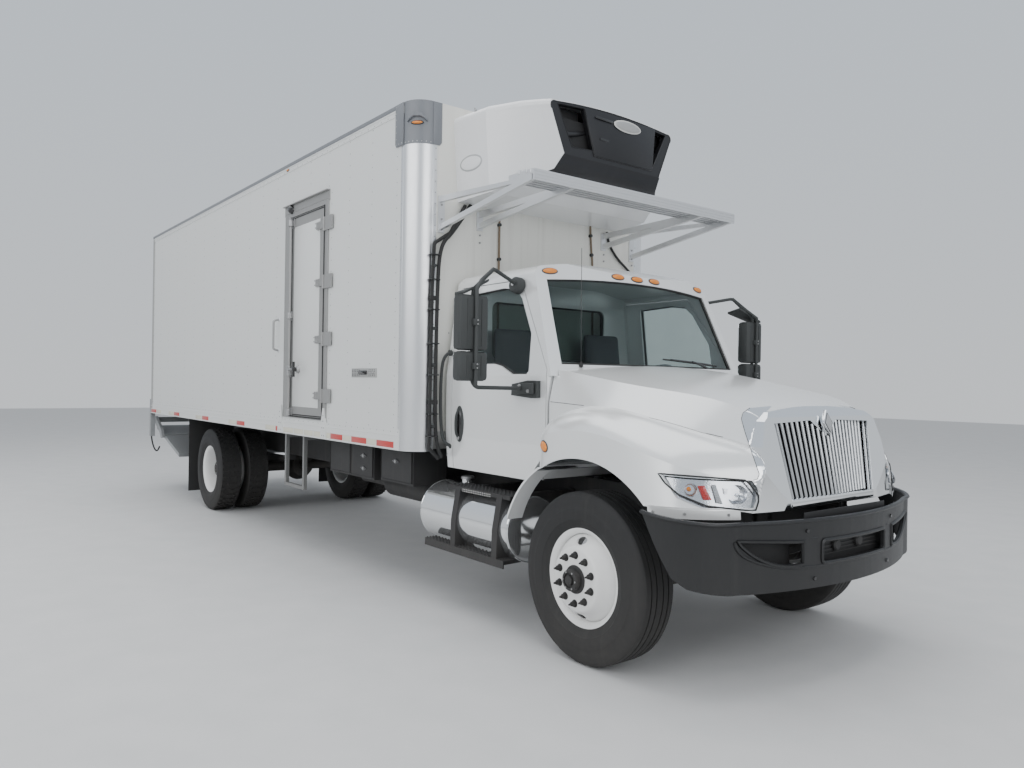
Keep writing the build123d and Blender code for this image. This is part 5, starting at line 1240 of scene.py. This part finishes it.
bar_shapes = []
for side in (-1, 1):
    for index in range(BARS):
        line = bar_line(side, (index + 0.5) / BARS)
        # The dark plate behind each bar is painted shade: it darkens the gaps between the bars
        beside, beyond = way(-4, -9, 0), way(-4, 9, 0)
        back = [line[0] + beside, line[0] + beyond, line[-1] + beyond, line[-1] + beside]
        bar_shapes += [
            (pipe(line, 11.5, sides=4), "chrome_painted_dark"),
            (plate(back, way(-22, 0, 0), 1), "gloss_black"),
        ]
bar_shapes += [
    sheet("core_dark", (-4, 0, 0), 0, (800, -470, 1050), (846, 0, 1050), (800, 470, 1050),
          (722, 500, 1466), (768, 0, 1466), (722, -500, 1466)),
    slab("chrome", (920, -440, 1000), (960, 440, 1046), 5),
]
piece("grille_slats", bar_shapes, "hood", ["grille_bars"])
emblem = spots(*EMBLEM)
emblem_middle = sum(emblem, Vector()) / 4
emblem_plate = [emblem_middle.lerp(corner, 0.74) + way(7, 0, 1.4) for corner in emblem]
piece("bare_diamond_plate", [
    (plate([corner + way(-14, 0, -2.8) for corner in emblem], way(20, 0, 4), 3), "chrome"),
    (plate(emblem_plate, way(2, 0, 0.4), 0.6), "lamp_frame"),
    (pipe(emblem_plate, 2.6, ring=True, sides=1), "gloss_black"),
], "hood")

# Bumper: a bent copy of the CAD's with rounded lips, sweeps and bolts, and what its openings show

BUMPER_BEND = 62
BEND_REACH = 900
LIP_RADIUS = 11
SWEEP = ((916, 858), (916, 829), (840, 765), (684, 715), (492, 695), (188, 700), (0, 701))
BUMPER_BOLTS = ((455, 893), (395, 630))


def bent_bumper():
    """The CAD's bumper, its ends moved back."""
    made = bmesh.new()
    made.from_mesh(nodes["bumper"].data)
    bmesh.ops.remove_doubles(made, verts=made.verts, dist=1e-5)
    for corner in made.verts:
        share = min(1.0, abs(corner.co.y) * 1000 / BEND_REACH)
        corner.co.x -= (LIP_RADIUS + BUMPER_BEND * share**2) / 1000
    return ended(made)


def on_lip(place):
    """Whether a sharp edge of the bumper is one of its lips."""
    return ahead_of(place) > 500 and (place.z > 0.94 or 0.69 < place.z < 0.89)


def on_bumper(side, places):
    """The bumper's front at places given as left and up, with the direction outwards."""
    found = [struck("bumper", spot(1400, side * left, up), BACK) for left, up in places]
    return [hit for hit in found if hit[0] is not None]


reshaped["bumper"] = bent_bumper()
bumper_shapes = [(reshaped["bumper"], "bumper_black")]
bumper_shapes += [(mesh, "bumper_black") for mesh in trim_along("bumper", LIP_RADIUS, 55, 0.25, on_lip)]
for side in (-1, 1):
    bumper_shapes += [
        (pipe([base for base, _ in on_bumper(side, SWEEP)], 9, True), "bumper_black"),
        (heads(on_bumper(side, BUMPER_BOLTS), 13, 10, 9, 6), "gloss_black"),
    ]
piece("bumper_skin", bumper_shapes, "chassis", ["bumper"])

KNOB = [(0, 34), (18, 34), (26, 26), (26, 0)]
behind_bumper = [
    slab("core_dark", (1016, -434, 640), (1022, 434, 930)),
    slab("core_dark", (1022, -434, 922), (1030, 434, 985)),
    (slat_row(5, (1024, 0, 734), (0, 0, 22), (6, 700, 7)), "frame_black"),
    spun("frame_black", KNOB, spot(1022, -120, 778), AHEAD, 28),
    spun("frame_black", KNOB, spot(1022, 120, 778), AHEAD, 28),
]
for side in (-1, 1):
    faces = on_bumper(side, [(left, 905) for left in range(474, 1060, 40)])
    wall_line = [Vector((place.x - 0.09, place.y, 0.64)) for place, _ in faces]
    for first, last in zip(wall_line, wall_line[1:]):
        wall = [first, last, last + way(0, 0, 262), first + way(0, 0, 262)]
        behind_bumper.append((plate(wall, way(-6, 0, 0), 0), "core_dark"))
piece("front_baffles", behind_bumper, "chassis")

# Box: rivets, rails, tape, caps with their lamps, door panel and its hardware

BOX_FRONT, BOX_REAR = -1897, -9485
CORNER_TURN = (-1895, 1130.5)
DOOR_SEAMS = (-4260, -3180)
FIRST_LINE, LINE_GAP, WALL_LINES = -1990, 411, 19

rivets = []
for side in (-1, 1):
    facing = (0, side, 0)
    for index in range(WALL_LINES):
        place = FIRST_LINE - index * LINE_GAP
        low = 3430 if side < 0 and DOOR_SEAMS[0] < place < DOOR_SEAMS[1] else 1310
        rivets += row((place, side * BOX_SIDE, low), (place, side * BOX_SIDE, 3730), 100, facing)
    rail, lip = side * RAIL_SIDE, side * (RAIL_SIDE + 4)
    rivets += row((-1915, side * BOX_SIDE, 1310), (-1915, side * BOX_SIDE, 3480), 86, facing)
    rivets += row((-1915, rail, 1278), (-9470, rail, 1278), 112, facing)
    rivets += row((-1915, rail, 3757), (-9470, rail, 3757), 112, facing)
    rivets += row((-1726, side * 1108, 1180), (-1726, side * 1108, 3470), 86, (1, 0, 0))
    rivets += row((-1915, lip, 3516), (-2000, lip, 3516), 42, facing)
    rivets += row((-2000, lip, 3560), (-2000, lip, 3810), 50, facing)
    for step in range(7):
        angle = math.radians(8 + 74 * step / 6)
        across = Vector((math.cos(angle), side * math.sin(angle), 0))
        rivets.append((spot(CORNER_TURN[0], side * CORNER_TURN[1], 3512) + across * 0.1655, across))
box_shapes = [(heads(rivets, *RIVET), "rivet_grey")]
for side in (-1, 1):
    out = side * RAIL_SIDE
    for up, radius in ((1252, 4), (1206, 4), (1143, 5), (3782, 4)):
        box_shapes.append(rod("panel_white", radius, (BOX_FRONT, out, up), (BOX_REAR, out, up), sides=1))
    low_out, high_out = sorted((out, out + side * 2.5))
    post_side = side * 1295.3
    box_shapes += [
        slab("cap_grey", (BOX_REAR, low_out, 3794), (BOX_FRONT, high_out, 3828), 1),
        sheet("satin_post", (0, side * 2, 0), 0.5, (-1925, post_side, 1300), (-1893, post_side, 1300),
              (-1893, post_side, 3494), (-1925, post_side, 3494)),
        sheet("satin_post", (3, 0, 0), 0.5, (-1730.2, side * 1132, 1140), (-1730.2, side * 1095, 1140),
              (-1730.2, side * 1095, 3494), (-1730.2, side * 1132, 3494)),
    ]
piece("box_fastenings", box_shapes, "chassis")

TAPES = (
    # rear end, front end, colour
    (-2255, -1976, "tape_red"),
    (-2427, -2265, "tape_white"),
    (-2704, -2430, "tape_red"),
    (-2866, -2716, "tape_white"),
    (-3117, -2877, "tape_red"),
    (-3194, -3127, "tape_white"),
    (-3480, -3322, "tape_white"),
    (-3700, -3500, "tape_white"),
    (-3940, -3720, "tape_white"),
    (-4210, -3960, "tape_white"),
    (-4420, -4362, "tape_red"),
    (-4700, -4440, "tape_white"),
    (-5600, -5340, "tape_red"),
    (-5880, -5610, "tape_white"),
    (-6900, -6640, "tape_red"),
    (-7180, -6910, "tape_white"),
    (-8200, -7940, "tape_red"),
    (-8480, -8210, "tape_white"),
    (-9150, -8900, "tape_white"),
    (-9450, -9170, "tape_red"),
)
tape_shapes = []
for side in (-1, 1):
    low_out, high_out = sorted((side * RAIL_SIDE, side * (RAIL_SIDE + 0.8)))
    for rear, front, colour in TAPES:
        tape_shapes.append(slab(colour, (rear, low_out, 1150), (front, high_out, 1198), 0.3))
piece("rail_tape", tape_shapes, "chassis")

BROW = (
    # along the corner's curve, up
    (-100, 3660), (-78, 3700), (-34, 3728), (34, 3728), (78, 3700),
    (100, 3660), (70, 3680), (30, 3698), (-30, 3698), (-70, 3680),
)
CAP_SIDE = ((-2016, 3520), (-2000, 3496), (-1890, 3496), (-1890, 3828), (-2016, 3828))
CAP_FRONT = ((1055, 3520), (1075, 3496), (1134, 3496), (1134, 3828), (1055, 3828))
cap_shapes = []
for side in (-1, 1):
    corner = Vector((0.7071, side * 0.7071, 0))
    lamp_place = spot(CORNER_TURN[0], side * CORNER_TURN[1], 3652) + corner * 0.166
    brow = []
    for along, up in BROW:
        angle = math.radians(45 + side * along / 165 * 57.3 * 0.9)
        across = Vector((math.cos(angle), side * math.sin(angle), 0))
        brow.append(spot(CORNER_TURN[0], side * CORNER_TURN[1], up) + across * 0.160)
    cap_shapes += [
        (plate(brow, corner * 0.026, 5), "cap_grey"),
        *lamp_on(lamp_place, corner, corner.cross(UP), (52, 17, 8), (44, 12, 18), "amber"),
        sheet("cap_grey", (0, side * 4, 0), 1.5, *((ahead, side * RAIL_SIDE, up) for ahead, up in CAP_SIDE)),
        sheet("cap_grey", (5, 0, 0), 1.5, *((-1730, side * left, up) for left, up in CAP_FRONT)),
    ]
piece("cap_lamps", cap_shapes, "chassis")

LATCH_ROD_GUIDES = (1352, 1742, 2300, 3208)
HINGES = (1529, 2046, 2569, 3097)
HINGE_BOLT = (8, 6, 5, 6)
GUIDE_BOLT = (7, 5, 5, 6)
leaf_shapes = [
    slab("panel_white", (-3998, -1300.5, 1412), (-3402, -1297.2, 3166), 1.2),
    rod("rubber", 7, (-4052, -1298, 1334), (-3313, -1298, 1334), (-3313, -1298, 3257), (-4052, -1298, 3257),
        ring=True, sides=1),
    (slat_row(3, (-4052, -1299, 2295), (14, 0, 0), (5, 5, 1900)), "leaf_grey"),
]
for up in LATCH_ROD_GUIDES:
    bolts = [(ahead, -1299, up + step) for ahead in (-4046, -4000) for step in (-34, 34)]
    leaf_shapes += [
        spun("bolt_steel", [(-30, 24), (-26, 27), (26, 27), (30, 24)], spot(-4029, -1325.5, up), UP, 24),
        studs("bolt_steel", GUIDE_BOLT, RIGHT, *bolts),
        slab("bolt_steel", (-4064, -1306, up - 46), (-3988, -1297, up + 46), 3),
    ]
for up in HINGES:
    bolts = [(ahead, -1327, up + step) for ahead in (-3440, -3390) for step in (-20, 20)]
    leaf_shapes.append(studs("bolt_steel", HINGE_BOLT, RIGHT, *bolts))
leaf_shapes += [
    slab("bolt_steel", (-4062, -1344, 1736), (-4004, -1318, 1812), 6),
    rod("bolt_steel", 10, (-4029, -1334, 1773), (-3920, -1346, 1773), (-3854, -1350, 1773)),
    rod("gloss_black", 13, (-3854, -1350, 1700), (-3854, -1352, 1773), (-3854, -1350, 1846)),
    spun("gloss_black", [(-30, 20), (-6, 26), (10, 24), (16, 12), (16, 0)],
         spot(-3854, -1352, 1773), RIGHT, 24),
    spun("bolt_steel", [(-2, 40), (14, 34), (30, 16), (30, 0)], spot(-3854, -1301, 1773), RIGHT, 24),
    slab("bolt_steel", (-4040, -1345, 3230), (-4016, -1312, 3268), 5),
]
piece("side_door_hardware", leaf_shapes, "side_door")

VENT_ROWS = (1714, 1728, 1748, 1762)
VENT_COLUMNS = [-2700 + 30 * index for index in range(14) if not 4 < index < 10]
VENT_HOLES = [(ahead, -1300, up) for ahead in VENT_COLUMNS for up in VENT_ROWS]
wall_shapes = [
    rod("bolt_steel", 11, (-4382, -1294, 1968), (-4382, -1350, 1976), (-4382, -1352, 2010),
        (-4382, -1352, 2240), (-4382, -1350, 2276), (-4382, -1294, 2284), curved=True),
    studs("aluminium", (22, 18, 6, 16), RIGHT, (-4382, -1295, 1968), (-4382, -1295, 2284)),
    slab("aged_aluminium", (-2719, -1300, 1700), (-2275, -1294, 1776)),
    studs("core_dark", (5, 4, 1.5, 8), RIGHT, *VENT_HOLES),
    slab("gloss_black", (-2570, -1316, 1722), (-2440, -1299, 1758), 6),
    sheet("gloss_black", (0, -8, 0), 3,
          (-2560, -1314, 1752), (-2470, -1330, 1746), (-2440, -1314, 1730), (-2540, -1314, 1726)),
    spun("bolt_steel", [(-4, 14), (6, 13), (10, 6), (10, 0)], spot(-2340, -1300, 1738), RIGHT, 20),
    rod("leaf_grey", 3, (-4217, -1304, 1306), (-3219, -1304, 1306), (-3219, -1304, 3320),
        (-4217, -1304, 3320), ring=True, sides=1),
    rod("rubber", 6.5, (-3297, -1304.5, 1318), (-3297, -1304.5, 3274), sides=1),
    rod("rubber", 6.5, (-4066, -1304.5, 1317), (-3300, -1304.5, 1317), sides=1),
    spun("gloss_black", [(-2, 44), (18, 40), (40, 22), (42, 0)], spot(-4060, -1303, 3350), RIGHT, 24),
    *lamp_on(spot(-4190, -1300.5, 3768), RIGHT, AHEAD, (36, 13, 8), (30, 9, 14), "amber"),
]
frame_rivets = row((-4200, -1304, 1330), (-4200, -1304, 3300), 100, (0, -1, 0))
frame_rivets += row((-4180, -1304, 3308), (-3240, -1304, 3308), 100, (0, -1, 0))
frame_rivets += row((-3165, -1296, 1330), (-3165, -1296, 3360), 100, (0, -1, 0))
wall_shapes.append((heads(frame_rivets, *RIVET), "rivet_grey"))
FOOT_BOLTS = ((-20, 1170), (20, 1170), (-20, 1240), (20, 1240), (0, 1300), (0, 1350))
for place in (-3256, -4286):
    bolts = [(place + step, -1310.5, up) for step, up in FOOT_BOLTS]
    wall_shapes.append(studs("rivet_grey", (7, 5, 4, 8), RIGHT, *bolts))
piece("side_wall_fittings", wall_shapes, "chassis")

# Front wall: the second hose with its ties, drains, and the cable on the far side

front_wall_shapes = [
    rod("rubber", 15, (-1706, -790, 3075), (-1690, -960, 2835), (-1688, -1082, 2728), (-1688, -1102, 2370),
        (-1688, -1108, 1600), (-1688, -1100, 1180), (-1690, -1040, 1090), curved=True),
    studs("black_plastic", (14, 12, 44, 10), AHEAD, *((-1716, -1128, up) for up in (2560, 2080, 1800, 1330))),
    rod("drain_brown", 9, (-1716, -495, 3000), (-1716, -497, 2600), (-1716, -495, 1500), curved=True),
    rod("drain_brown", 9, (-1716, 521, 3095), (-1716, 530, 2900), (-1716, 563, 2729), (-1716, 565, 1500),
        curved=True),
    rod("rubber", 11, (-1712, 724, 3060), (-1712, 740, 2960), (-1712, 860, 2830), (-1712, 984, 2755),
        (-1716, 1080, 2690), curved=True),
    studs("black_plastic", (16, 14, 26, 8), AHEAD,
          (-1728, -495, 2960), (-1728, -495, 2680), (-1728, 524, 3000), (-1728, 540, 2830)),
]
for up in (2640, 2450, 2220, 1960, 1720, 1420, 1250):
    front_wall_shapes.append(slab("gloss_black", (-1722, -1168, up), (-1668, -1086, up + 10), 3))
piece("front_wall_lines", front_wall_shapes, "chassis")

# Cooling unit: its dark chin, the raised plate and slots of its front, what its openings show, and the hook

UNIT_PLATE = ((583, 105), (655.5, 129), (651.5, 171), (594, 156.5))
UNIT_SLOTS = (((594.6, 117), (612, 123)), ((642, 133), (654.8, 137.3)), ((599.2, 139.2), (651.8, 155.7)))
UNIT_LABELS = (
    ((568.5, 111), (581, 115), (581, 128), (571, 128)),
    ((571, 136), (580, 136), (579, 145), (572, 145)),
)
CROSSBAR = ((563.5, 132, -30), (574, 131, -26), (586, 133, -30))
CHIN_REAR = -1125
UNIT_FRONT = -922


def on_unit(across, down):
    return seen_on("unit_front", across, down)[0]


def on_chin(face):
    """Whether a face of the moulding belongs to the dark chin or to the lip above it."""
    if face.normal.z < -0.3:
        return face.calc_center_median().z < 3.45
    return face.normal.x > 0.8 and all(v.co.z < 3.40 and abs(v.co.y) < 0.60 for v in face.verts)


def skin_of(name, behind, keep, proud):
    """The faces of a node ahead of a plane that pass a test, as a skin of 1 mm just proud of them."""
    made = bmesh.new()
    made.from_mesh(nodes[name].data)
    bmesh.ops.remove_doubles(made, verts=made.verts, dist=1e-5)
    whole = list(made.verts) + list(made.edges) + list(made.faces)
    cut = spot(behind, 0, 0)
    bmesh.ops.bisect_plane(made, geom=whole, plane_co=cut, plane_no=AHEAD, clear_inner=True)
    bmesh.ops.delete(made, geom=[f for f in made.faces if not keep(f)], context="FACES")
    made.normal_update()
    outward = {v: v.normal.copy() for v in made.verts}
    for corner, direction in outward.items():
        corner.co += direction * proud / 1000
    grown_faces = bmesh.ops.extrude_face_region(made, geom=list(made.faces))
    for corner in grown_faces["geom"]:
        if isinstance(corner, bmesh.types.BMVert):
            corner.co -= corner.normal / 1000
    return ended(made)


raised = [on_unit(*corner) for corner in UNIT_PLATE]
unit_shapes = [
    (skin_of("unit_shroud", CHIN_REAR, on_chin, 1.6), "unit_black"),
    (plate([corner + way(-4, 0, 0) for corner in raised], way(16, 0, 0), 5), "unit_black"),
    (pipe([corner + way(2, 0, 0) for corner in raised], 4, ring=True, sides=1), "gloss_black"),
]
for start, end in UNIT_SLOTS:
    first, last = on_unit(*start), on_unit(*end)
    low, high = way(11.5, 0, -9), way(11.5, 0, 9)
    slot = [first + low, last + low, last + high, first + high]
    unit_shapes.append((plate(slot, way(2.5, 0, 0), 0.8), "gloss_black"))
plate_place = on_unit(626.6, 127.8) + way(12, 0, 0)
unit_shapes += [
    (lens(plate_place, AHEAD, LEFT, (150, 46, 6), 40), "label_pale"),
    (lens(plate_place + way(2, 0, 0), AHEAD, LEFT, (138, 38, 7), 40), "aged_aluminium"),
]
for mesh in trim_along("unit_front", 4, 55, 0.2, lambda place: ahead_of(place) > UNIT_FRONT):
    unit_shapes.append((mesh, "unit_black"))
for corners in UNIT_LABELS:
    label = [on_unit(*corner) + way(-60, 0, 0) for corner in corners]
    unit_shapes.append((plate(label, way(-8, 0, 0), 1.5), "label_pale"))
crossbar = [on_unit(across, down) + way(depth, 0, 0) for across, down, depth in CROSSBAR]
oval, oval_facing = seen_on("unit_shroud", 471, 163)
hook, hook_facing = seen_on("unit_shroud", 474.5, 107)
unit_shapes += [
    (pipe(crossbar, 20), "unit_black"),
    slab("core_dark", (-1010, -590, 3440), (-1000, -300, 3730)),
    slab("core_dark", (-1010, 300, 3440), (-1000, 590, 3730)),
    (lens(oval, oval_facing, AHEAD, (125, 62, 5), 40), "lamp_frame"),
    (lens(oval + oval_facing * 0.0015, oval_facing, AHEAD, (112, 52, 6), 40), "unit_white"),
    (lens(hook + hook_facing * 0.001, hook_facing, AHEAD, (30, 13, 3), 32), "gloss_black"),
    patch("bolt_steel", hook, (0, -12, 0), 2,
          (-14, 6, -12), (8, 6, -8), (4, 6, 14), (-12, 6, 32), (-19, 6, 30), (-8, 6, 10)),
]
piece("unit_fittings", unit_shapes, "chassis")

# Platform: fingers at its rear end, bolts on its arms' foot plates

ARM_LINES = (-690, -1055, 690, 1055)
ARM_BOLTS = [(-1716, left, up) for left in ARM_LINES for up in (2790, 2850, 2930, 3040)]
platform_shapes = []
for across in (518.5, 522.5, 526.5, 530.5):
    finger = seen_on("unit_platform", across, 171)[0]
    corners = ((-7, -6, -14), (7, -6, -14), (7, -6, 14), (-7, -6, 14))
    platform_shapes.append(patch("aluminium", finger, (0, 20, 0), 2, *corners))
platform_shapes += [
    (slat_row(3, (-577, 0, 3034), (0, 0, 22), (5, 2136, 7)), "aluminium"),
    studs("bolt_steel", (9, 7, 8, 6), AHEAD, *ARM_BOLTS),
]
piece("platform_details", platform_shapes, "chassis")

# Tank, steps, tool boxes and rear end

TANK_MIDDLE = (-900, 666)
TANK_ENDS = ((-1849, 1), (-740, -1))
TREAD_STUD = (9, 5, 5, 8)
tank_shapes = []
for end, inward in TANK_ENDS:
    axis = AHEAD * inward
    tank_shapes += [
        spun("polished", [(0, 226), (8, 229), (14, 226)], spot(end, *TANK_MIDDLE), axis, 64),
        spun("polished", [(0, 222), (-10, 200), (-20, 150), (-26, 80), (-28, 0)],
             spot(end + 6 * inward, *TANK_MIDDLE), axis, 64),
    ]
lower_studs = [(-1720 + 44 * index, -1136 + 26 * line, 481) for index in range(22) for line in range(4)]
upper_studs = [(-1490 + 44 * index, -1080 + 34 * line, 908) for index in range(17) for line in range(5)]
edge_dots = [(-1300 + 22 * index, -1101, 880 + 14 * line) for index in range(16) for line in range(2)]
tank_shapes += [
    spun("bolt_steel", [(0, 52), (18, 52), (22, 48), (22, 0)], spot(-1620, -840, 921), UP, 32),
    studs("frame_black", TREAD_STUD, UP, *lower_studs),
    studs("frame_black", TREAD_STUD, UP, *upper_studs),
    studs("label_pale", (5, 4, 1.5, 8), RIGHT, *edge_dots),
]
piece("tank_and_steps", tank_shapes, "chassis")
latch_shapes = []
for place, up in ((-2860, 1010), (-2860, 900), (-2290, 1010)):
    centre = spot(place, -1098, up)
    latch_shapes += [
        patch("gloss_black", centre, (0, -5, 0), 1.5, (-62, 0, 0), (0, 0, -24), (62, 0, 0), (0, 0, 24)),
        spun("bolt_steel", [(2, 15), (12, 13), (12, 0)], centre, RIGHT, 20),
    ]
latch_shapes.append(rod("rubber", 10, (-3120, -1100, 830), (-3120, -1100, 1100), sides=1))
for rear, front, low in ((-3540, -2700, 832), (-2540, -2040, 850)):
    seal = ((rear, -1099, low), (front, -1099, low), (front, -1099, 1098), (rear, -1099, 1098))
    latch_shapes.append(rod("rubber", 3, *seal, ring=True, sides=1))
piece("tool_box_latches", latch_shapes, "chassis")

REAR_FACE = -9485.5
DOOR_SLATS = (1686, 2073, 2460, 2846, 3233)
rear_shapes = []
for left in (-400, 0, 400, -1150, 1150):
    rear_shapes += lamp_on(spot(REAR_FACE, left, 3740), BACK, LEFT, (52, 20, 6), (44, 14, 16), "red_lens")
for side in (-1, 1):
    for left in (1010, 860):
        lamp_place = spot(REAR_FACE, side * left, 1218)
        rear_shapes += [
            spun("rubber", [(0, 62), (8, 62), (10, 58), (10, 0)], lamp_place, BACK, 36),
            spun("red_lens", [(8, 54), (16, 50), (20, 30), (20, 0)], lamp_place, BACK, 36),
        ]
    bolts = [(-9520, side * 1300.5, 840 + 60 * index) for index in range(8)]
    low_left, high_left = sorted((side * 1225, side * 1275))
    rear_shapes += [
        rod("rubber", 11, (-9505, side * 1268, 1000), (-9560, side * 1280, 900), (-9570, side * 1262, 700),
            (-9560, side * 1220, 560), (-9500, side * 1190, 540), (-9440, side * 1180, 620), curved=True),
        studs("bolt_steel", (9, 7, 4, 8), Vector((0, side, 0)), *bolts),
        slab("aged_aluminium", (-9490, low_left, 1320), (-9484, high_left, 3600)),
    ]
rear_shapes += [
    slab("label_pale", (-9490, -150, 1196), (-9485, 150, 1276), 3),
    slab("bolt_steel", (-9462, -90, 1420), (-9452, 90, 1500), 4),
    rod("bolt_steel", 9, (-9455, -60, 1470), (-9480, -50, 1466), (-9480, 50, 1466), (-9455, 60, 1470)),
    rod("gloss_black", 8, (-9456, 0, 1420), (-9470, 0, 1380), (-9470, 0, 1330)),
]
for up in DOOR_SLATS:
    rear_shapes.append(rod("rubber", 3.5, (-9452.5, -1195, up), (-9452.5, 1195, up), sides=1))
piece("rear_fittings", rear_shapes, "chassis")

# Seats: cushions and backs that a cloth simulation swells, on plain bases

SWELL = 0.012
PAD_VOXEL = 0.012
PRESSURE = 4
LAST_FRAME = 20
SEAT_LEFT = -480
CUSHION = ((-1478, -232), (-998, -232), (-998, 232), (-1478, 232))
CUSHION_SEAM = ((-1482, -236), (-994, -236), (-994, 236), (-1482, 236))
BACK_PAD = ((-1500, -218, 1450), (-1408, -218, 1450), (-1408, 218, 1450), (-1500, 218, 1450),
            (-1556, -200, 2110), (-1488, -200, 2110), (-1488, 200, 2110), (-1556, 200, 2110))


def swell(pad):
    """Moves a pad's points by a cloth simulation under pressure, none of them further than SWELL."""
    rest_places = [corner.co.copy() for corner in pad.data.vertices]
    bpy.context.scene.collection.objects.link(pad)
    cloth = pad.modifiers.new("cloth", "CLOTH")
    cloth.settings.use_pressure = True
    cloth.settings.uniform_pressure_force = PRESSURE
    cloth.settings.effector_weights.gravity = 0
    for frame_number in range(1, LAST_FRAME + 1):
        bpy.context.scene.frame_set(frame_number)
    moved = bpy.data.meshes.new_from_object(pad.evaluated_get(bpy.context.evaluated_depsgraph_get()))
    for corner, start, swelled in zip(pad.data.vertices, rest_places, moved.vertices):
        step = swelled.co - start
        corner.co = start + step * min(1, SWELL / max(step.length, 1e-6))
    pad.modifiers.clear()
    bpy.context.scene.collection.objects.unlink(pad)
    bpy.context.scene.frame_set(1)


def padding(corners):
    """A swollen pad from eight corners, four of its bottom and four of its top."""
    made = bmesh.new()
    bottom = [made.verts.new(corner) for corner in corners[:4]]
    top = [made.verts.new(corner) for corner in corners[4:]]
    made.faces.new(bottom)
    made.faces.new(top)
    for index in range(4):
        after = (index + 1) % 4
        made.faces.new((bottom[index], bottom[after], top[after], top[index]))
    rough_shape = bpy.data.objects.new("pad", ended(made, 38, 4))
    remesh = rough_shape.modifiers.new("remesh", "REMESH")
    remesh.mode = "VOXEL"
    remesh.voxel_size = PAD_VOXEL
    pad = bpy.data.objects.new("pad", evaluated_mesh(rough_shape))
    swell(pad)
    finer = pad.modifiers.new("finer", "SUBSURF")
    finer.levels = 1
    mesh = evaluated_mesh(pad)
    mesh.shade_smooth()
    return mesh


def seat_pads(centre):
    """The cushion and the back of one seat, with their seams."""
    cushion = [spot(ahead, centre + left, up) for up in (1302, 1432) for ahead, left in CUSHION]
    back = [spot(ahead, centre + left, up) for ahead, left, up in BACK_PAD]
    seam = [(ahead, centre + left, 1367) for ahead, left in CUSHION_SEAM]
    shapes = [
        (padding(cushion), "seat_cloth"),
        (padding(back), "seat_cloth"),
        rod("trim", 5, *seam, ring=True, sides=1),
    ]
    for left in (centre - 110, centre + 110):
        shapes.append(rod("trim", 3, (-1420, left, 1441), (-1200, left, 1445), (-1040, left, 1441), sides=1))
    return shapes


seat_piece = piece("seat_pads", both_sides(seat_pads(SEAT_LEFT)), "chassis", ["seats"])
bases = [
    slab("trim", (-1490, SEAT_LEFT - 226, 1075), (-1000, SEAT_LEFT + 226, 1296), 16),
    slab("trim", (-1300, SEAT_LEFT - 60, 1060), (-1180, SEAT_LEFT + 60, 1080), 4),
]
piece("seat_bases", both_sides(bases), "chassis")

# Floor, light and background

FLOOR_HALF = 40
FLOOR_DARK, FLOOR_LIGHT = (0.62, 0.63, 0.635, 1), (0.66, 0.665, 0.67, 1)
around_floor = ((-1, -1), (1, -1), (1, 1), (-1, 1))
floor_corners = [Vector((x * FLOOR_HALF, y * FLOOR_HALF, -0.02)) for x, y in around_floor]
floor_mesh = plate(floor_corners, Vector((0, 0, 0.018)), 0)
floor = bpy.data.objects.new("studio_floor", floor_mesh)
bpy.context.scene.collection.objects.link(floor)
floor_finish = bpy.data.materials.new("studio_floor")
floor_finish.use_nodes = True
tree = floor_finish.node_tree
floor_place = add_node(tree, "ShaderNodeTexCoord").outputs["Object"]
floor_share = spread(tree, noise(tree, floor_place, 3.0, 6.0), 0.3, 0.7, 0.0, 1.0)
floor_shader = tree.nodes["Principled BSDF"]
wire(tree, blended(tree, floor_share, FLOOR_DARK, FLOOR_LIGHT), floor_shader.inputs["Base Color"])
floor_shader.inputs["Roughness"].default_value = 0.85
floor_mesh.materials.append(floor_finish)

HORIZON, ZENITH = (0.74, 0.77, 0.80, 1), (0.66, 0.73, 0.82, 1)
world = bpy.data.worlds.new("studio")
bpy.context.scene.world = world
world.use_nodes = True
tree = world.node_tree
sky = tree.nodes["Background"]
sky.inputs["Color"].default_value = (0.93, 0.96, 1.0, 1)
sky.inputs["Strength"].default_value = 0.72
backdrop = add_node(tree, "ShaderNodeBackground")
direction = add_node(tree, "ShaderNodeSeparateXYZ")
wire(tree, add_node(tree, "ShaderNodeTexCoord").outputs["Generated"], direction.inputs[0])
height_share = spread(tree, direction.outputs[2], -0.02, 0.5, 0.0, 1.0)
wire(tree, blended(tree, height_share, HORIZON, ZENITH), backdrop.inputs["Color"])
rays = add_node(tree, "ShaderNodeLightPath")
seen = arithmetic(tree, "MAXIMUM", rays.outputs["Is Camera Ray"], rays.outputs["Is Glossy Ray"])
seen = arithmetic(tree, "MAXIMUM", seen, rays.outputs["Is Transmission Ray"])
mixed = add_node(tree, "ShaderNodeMixShader")
wire(tree, seen, mixed.inputs[0])
wire(tree, sky.outputs[0], mixed.inputs[1])
wire(tree, backdrop.outputs[0], mixed.inputs[2])
wire(tree, mixed.outputs[0], tree.nodes["World Output"].inputs["Surface"])


def soft_light(name, place, aim, size, power):
    data = bpy.data.lights.new(name, "AREA")
    data.shape = "RECTANGLE"
    data.size, data.size_y = size
    data.energy = power
    made = bpy.data.objects.new(name, data)
    made.location = place
    made.rotation_euler = (Vector(aim) - Vector(place)).to_track_quat("-Z", "Y").to_euler()
    bpy.context.scene.collection.objects.link(made)


soft_light("sky_panel", (0, -1, 11), (0, 0, 0), (16, 10), 900)
soft_light("side_panel", (3, -13, 7), (0, 0, 1.5), (14, 6), 620)
soft_light("front_panel", (15, -2, 6), (3, 0, 1.5), (8, 6), 420)
